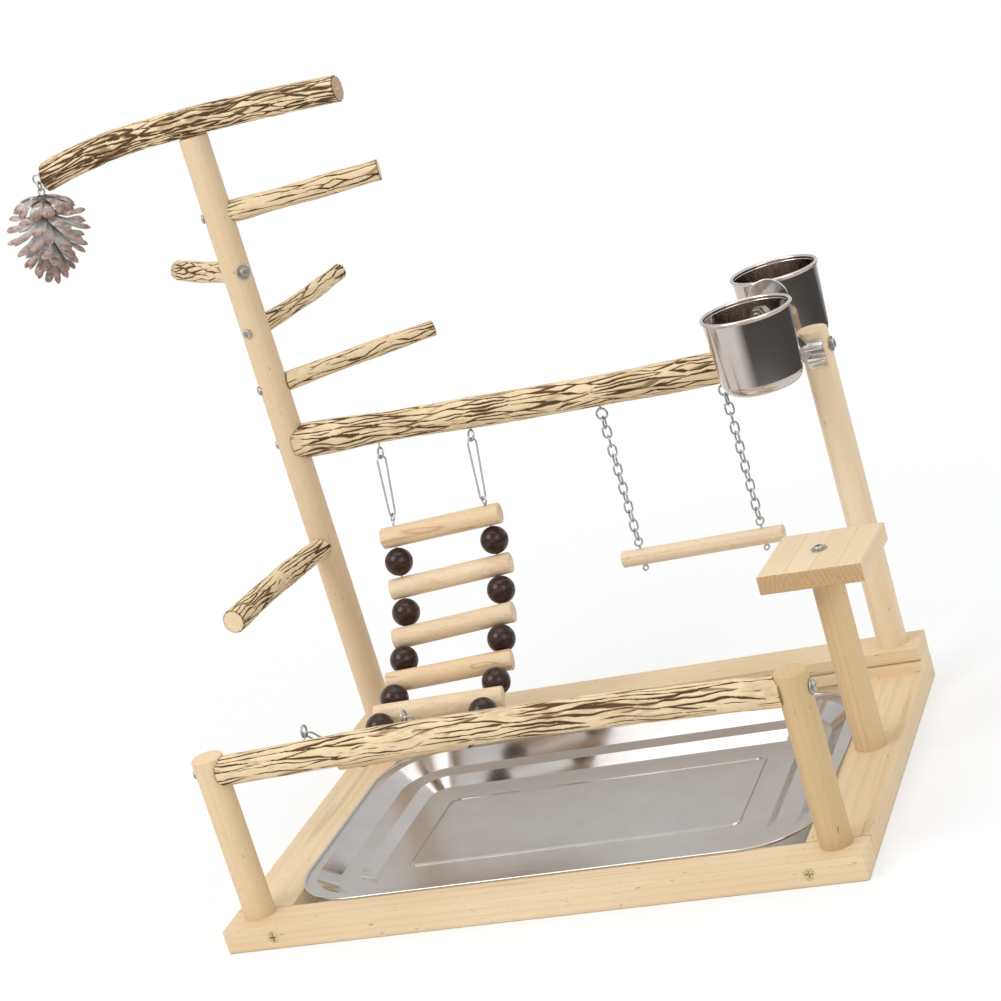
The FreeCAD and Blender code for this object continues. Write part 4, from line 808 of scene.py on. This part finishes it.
def cone_piece():
    """Spiral of bent, thick-tipped scales on a slim core, hanging tip down from a wire loop."""
    rng = random.Random(19)
    lean = Matrix.Rotation(CONE_LEAN, 3, "Y")
    top = -1.9 * MM
    rows = 12
    ring_steps = 12
    vertices = []
    faces = []
    layers = {"tip": [], "inner": [], "washed": []}

    def grow(points, row_count, tips, painted_shade, washes, hub=None):
        base = len(vertices)
        vertices.extend(cone_loop + lean @ point for point in points)
        per_row = len(points) // row_count
        faces.extend(tuple(base + i for i in face) for face in grid_faces(row_count, per_row))
        layers["tip"].extend(tips)
        layers["inner"].extend(painted_shade)
        layers["washed"].extend(washes)
        if hub is not None:
            last = base + (row_count - 1) * per_row
            vertices.append(cone_loop + lean @ hub)
            faces.extend((last + c, last + (c + 1) % per_row, base + len(points))
                         for c in range(per_row))
            for key, value in (("tip", 1.0), ("inner", 0.0), ("washed", washes[-1])):
                layers[key].append(value)

    core = []
    for r in range(16):
        share = r / 15
        radius = (1.5 + 7.5 * math.sin(math.pi * (0.1 + 0.88 * share)) ** 0.8) * MM
        core.extend(Vector((radius * math.cos(2 * math.pi * c / 20),
                            radius * math.sin(2 * math.pi * c / 20),
                            top - 1.5 * MM - (CONE_LENGTH - 12 * MM) * share)) for c in range(20))
    # the core gets strong painted shade (inner 0.8), as it lies deep between the scales
    grow(core, 16, [0.0] * len(core), [0.8] * len(core), [0.3] * len(core))
    golden = math.pi * (3 - math.sqrt(5))
    for n in range(CROWN_SCALES + CONE_SCALES):
        crown = n < CROWN_SCALES
        down = 0.15 + 0.85 * ((n - CROWN_SCALES + 0.5) / CONE_SCALES) ** 0.9 if not crown else 0.05
        turn = n * golden + rng.uniform(-0.1, 0.1)
        if crown:
            turn = n * 2 * math.pi / CROWN_SCALES + rng.uniform(-0.07, 0.07)
        reach, drop, half_width = cone_measures(down)
        reach *= rng.uniform(0.92, 1.0) * MM
        drop = math.radians(drop + rng.uniform(-5, 5))
        half_width *= rng.uniform(0.88, 1.08) * MM
        root_reach = min(5.5 * MM, reach * 0.5)
        tip_z = top - 4 * MM - (CONE_LENGTH - 6.5 * MM) * down
        if crown:
            tip_z = top - rng.uniform(13, 17) * MM
        root_z = min(tip_z + math.tan(drop) * (reach - root_reach), top - 3 * MM)
        root_z = min(root_z, tip_z + 34 * MM)
        out = Vector((math.cos(turn), math.sin(turn), 0))
        across = Vector((-math.sin(turn), math.cos(turn), 0))
        root = out * root_reach + Z_AXIS * root_z
        tip = out * reach + Z_AXIS * tip_z
        chord = tip - root
        along = chord.normalized()
        normal = across.cross(along)
        if normal.z < 0:
            normal = -normal
        sag = (0.3 if crown else 0.07) * chord.length * rng.uniform(0.7, 1.2)
        wash = max(0.0, 1 - abs(down - 0.34) / 0.42) * rng.uniform(0.75, 1.0)
        if crown:
            wash = 0.0
            reach *= rng.uniform(0.94, 1.02)
        points = []
        tips = []
        painted_shade = []
        for r in range(rows):
            t = r / (rows - 1)
            lift = -sag * math.sin(math.pi * t) * (1 if not crown else -0.6)
            centre = root + chord * t + normal * lift
            half = half_width * (0.34 + 0.66 * math.sin(math.pi / 2 * min(1.0, t / 0.78)))
            if t > 0.8:
                half *= math.sqrt(max(0.0, 1 - ((t - 0.8) / 0.215) ** 2))
            thick = (0.6 + 1.6 * max(0.0, math.sin(math.pi * min(1, (t - 0.55) / 0.5)))
                     * (t > 0.55)) * MM
            if r == rows - 1:
                thick *= 0.35
            for c in range(ring_steps):
                a = 2 * math.pi * c / ring_steps
                keel = 0.22 * half * (1 - math.cos(a) ** 2)
                points.append(centre + across * (half * math.cos(a))
                              + normal * (thick * math.sin(a) + keel * (0.5 if crown else 1)))
                tips.append(t if t > 0.5 else (0.78 if crown and t > 0.25 else 0.0))
                # painted shade towards the root of each scale, where it lies between its neighbours
                painted_shade.append(max(0.0, 0.7 - t * 1.9))
        grow(points, rows, tips, painted_shade, [wash] * len(points), tip)
    loop = []
    for i in range(29):
        a = 2 * math.pi * i / 28
        spoke = X_AXIS * math.cos(a) + Z_AXIS * math.sin(a)
        for j in range(10):
            b = 2 * math.pi * j / 10
            loop.append(spoke * (CONE_LOOP_RADIUS + CONE_WIRE * math.cos(b))
                        + Vector((0, CONE_WIRE * math.sin(b), 0)))
    grow(loop, 29, [0.0] * 290, [0.0] * 290, [0.0] * 290)
    return new_piece("pine_cone_scales", vertices, faces, cone_finish, "pine_cone",
                     ("pine_cone",), layers)


cone_piece()

# ------------------------------------------------------------------ studio

FLOOR_HALF = 40.0
base_low = Vector(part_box("left_board")[0])
base_high = Vector(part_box("right_board")[1])
base_low.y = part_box("front_rail")[0].y
base_high.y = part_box("back_rail")[1].y
BASE_MIDDLE = (base_low + base_high) / 2
BASE_HALF = (base_high - base_low) / 2


def studio_material(name, colour):
    """White paper that keeps the object's shadow close by and is plain white further off."""
    s = Shader(name)
    s.finish(Base_Color=colour, Roughness=0.9, Specular_IOR_Level=0.1)
    white = s.add("Emission", Color=rgb(1, 1, 1), Strength=1.0)
    shade = s.add("MixShader")
    path = s.add("LightPath")
    seen = s.math("MAXIMUM", path.outputs["Is Camera Ray"],
                  s.math("MAXIMUM", path.outputs["Is Glossy Ray"],
                         path.outputs["Is Transmission Ray"]))
    place = s.position(move=(0, -BASE_MIDDLE.y, 0))
    away = s.add("VectorMath", {"operation": "LENGTH"})
    s.set(away, 0, place)
    plain = s.ramp(s.math("MULTIPLY", away.outputs["Value"], 0.5), (0.12, 0.5), (0.42, 1.0))
    sides = s.add("SeparateXYZ", Vector=place)
    outside = s.math("MAXIMUM",
                     s.math("GREATER_THAN", s.math("ABSOLUTE", sides.outputs["X"]), BASE_HALF.x),
                     s.math("GREATER_THAN", s.math("ABSOLUTE", sides.outputs["Y"]), BASE_HALF.y))
    plain = s.math("MULTIPLY", plain, outside)
    s.set(shade, 0, s.math("MULTIPLY", seen, plain))
    s.set(shade, 1, s.surface.outputs[0])
    s.set(shade, 2, white.outputs[0])
    s.tree.links.new(shade.outputs[0], s.output.inputs["Surface"])
    return s.material


def card_material(name, tone, clear=None):
    """Grey studio card for the metal to reflect, fading to white at its edges.

    clear: a place and a radius that stay white too.
    """
    s = Shader(name)
    s.tree.nodes.remove(s.surface)
    across = s.add("SeparateXYZ", Vector=s.add("TexCoord").outputs["Generated"])
    fade = []
    for axis in "XY":
        middle = s.math("ABSOLUTE", s.math("SUBTRACT", across.outputs[axis], 0.5))
        fade.append(s.ramp(middle, (0.36, 0.0), (0.5, 1.0)))
    edge = s.math("MAXIMUM", fade[0], fade[1])
    if clear:
        place, radius = clear
        away = s.add("VectorMath", {"operation": "DISTANCE"})
        s.set(away, 0, s.add("NewGeometry").outputs["Position"])
        s.set(away, 1, place)
        near = s.math("DIVIDE", away.outputs["Value"], radius)
        edge = s.math("MAXIMUM", edge, s.ramp(near, (0.9, 1.0), (0.98, 0.0)))
    colour = s.blend(edge, rgb(tone, tone, tone * 0.97), rgb(1, 1, 1))
    glow = s.add("Emission", Color=colour, Strength=1.0)
    s.tree.links.new(glow.outputs[0], s.output.inputs["Surface"])
    return s.material


def stage_plane(name, size, matrix, finish):
    half_x, half_y = size[0] / 2, size[1] / 2
    mesh = bpy.data.meshes.new(name)
    mesh.from_pydata([(-half_x, -half_y, 0), (half_x, -half_y, 0), (half_x, half_y, 0),
                      (-half_x, half_y, 0)], [], [(0, 1, 2, 3)])
    mesh.materials.append(finish)
    thing = bpy.data.objects.new(name, mesh)
    thing.matrix_world = matrix
    bpy.context.scene.collection.objects.link(thing)
    return thing


stage_plane("floor", (2 * FLOOR_HALF, 2 * FLOOR_HALF), Matrix.Translation((0, 0, -0.0002)),
            studio_material("PaleFloor", rgb(0.93, 0.93, 0.93)))


def reflected_card(name, place, aim, size, tone, clear=None):
    """A card that only mirror-like surfaces show."""
    turn = (Vector(aim) - Vector(place)).to_track_quat("Z", "Y").to_matrix().to_4x4()
    finish = card_material(name, tone, clear)
    card = stage_plane(name, size, Matrix.Translation(place) @ turn, finish)
    card.visible_camera = False
    card.visible_diffuse = False
    card.visible_shadow = False


# upright walls show the floor to a viewer looking down, so their dark card lies on it
cup_low, cup_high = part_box("front_cup")
cup_foot = ((cup_low.x + cup_high.x) / 2, (cup_low.y + cup_high.y) / 2, 0.0)
reflected_card("card_dark", (1.4, -0.3, 0.002), (1.4, -0.3, 1.0), (3.4, 4.6), 0.09,
               (cup_foot, 0.8))
reflected_card("card_back", (-0.9, 2.4, 1.5), (0.0, 0.15, 0.0), (3.0, 1.8), 0.8)

world = bpy.data.worlds.new("Studio")
bpy.context.scene.world = world
world.use_nodes = True
tree = world.node_tree
tree.nodes.clear()
out = tree.nodes.new("ShaderNodeOutputWorld")
mix = tree.nodes.new("ShaderNodeMixShader")
plain = tree.nodes.new("ShaderNodeBackground")
plain.inputs["Color"].default_value = (1, 1, 1, 1)
plain.inputs["Strength"].default_value = 1.0
soft = tree.nodes.new("ShaderNodeBackground")
soft.inputs["Color"].default_value = (0.98, 0.99, 1.0, 1)
soft.inputs["Strength"].default_value = 0.62
path = tree.nodes.new("ShaderNodeLightPath")
either = tree.nodes.new("ShaderNodeMath")
either.operation = "MAXIMUM"
third = tree.nodes.new("ShaderNodeMath")
third.operation = "MAXIMUM"
tree.links.new(path.outputs["Is Camera Ray"], either.inputs[0])
tree.links.new(path.outputs["Is Glossy Ray"], either.inputs[1])
tree.links.new(either.outputs[0], third.inputs[0])
tree.links.new(path.outputs["Is Transmission Ray"], third.inputs[1])
tree.links.new(third.outputs[0], mix.inputs[0])
tree.links.new(soft.outputs[0], mix.inputs[1])
tree.links.new(plain.outputs[0], mix.inputs[2])
tree.links.new(mix.outputs[0], out.inputs["Surface"])


def soft_light(name, place, aim, size, power):
    lamp = bpy.data.lights.new(name, "AREA")
    lamp.shape = "RECTANGLE"
    lamp.size, lamp.size_y = size
    lamp.energy = power
    thing = bpy.data.objects.new(name, lamp)
    direction = Vector(aim) - Vector(place)
    thing.matrix_world = Matrix.Translation(place) @ direction.to_track_quat("-Z", "Y").to_matrix().to_4x4()
    bpy.context.scene.collection.objects.link(thing)


AIM = (0.0, 0.17, 0.25)
soft_light("key", (-1.3, -1.4, 2.3), AIM, (1.6, 1.6), 34)
soft_light("fill", (1.9, -1.3, 1.5), AIM, (1.4, 1.4), 11)
soft_light("top", (0.1, 0.6, 2.6), AIM, (2.0, 2.0), 16)

# ------------------------------------------------------------------ camera

# world to camera turn as an axis times an angle (x right, y down, z forward), place in metres
VIEW_TURN = Vector((1.87522612, 0.0882126867, -0.471027336))
VIEW_PLACE = Vector((0.704376, -1.566882, 0.808523))
FOCAL_PIXELS = 2478.27344
PHOTO_PIXELS = 1001
PHOTO_CENTRE = (501.63734, 501.879762)
SENSOR_MM = 36.0

to_camera = Matrix.Rotation(VIEW_TURN.length, 3, VIEW_TURN.normalized())
camera_data = bpy.data.cameras.new("PhotoCamera")
camera_data.sensor_width = SENSOR_MM
camera_data.lens = FOCAL_PIXELS / PHOTO_PIXELS * SENSOR_MM
camera_data.shift_x = (PHOTO_PIXELS / 2 - PHOTO_CENTRE[0]) / PHOTO_PIXELS
camera_data.shift_y = (PHOTO_CENTRE[1] - PHOTO_PIXELS / 2) / PHOTO_PIXELS
camera_data.clip_end = 50
camera = bpy.data.objects.new("PhotoCamera", camera_data)
flip = Matrix.Diagonal((1, -1, -1))
camera.matrix_world = Matrix.Translation(VIEW_PLACE) @ (to_camera.transposed() @ flip).to_4x4()
bpy.context.scene.collection.objects.link(camera)
bpy.context.scene.camera = camera
bpy.context.scene.view_settings.view_transform = "Standard"
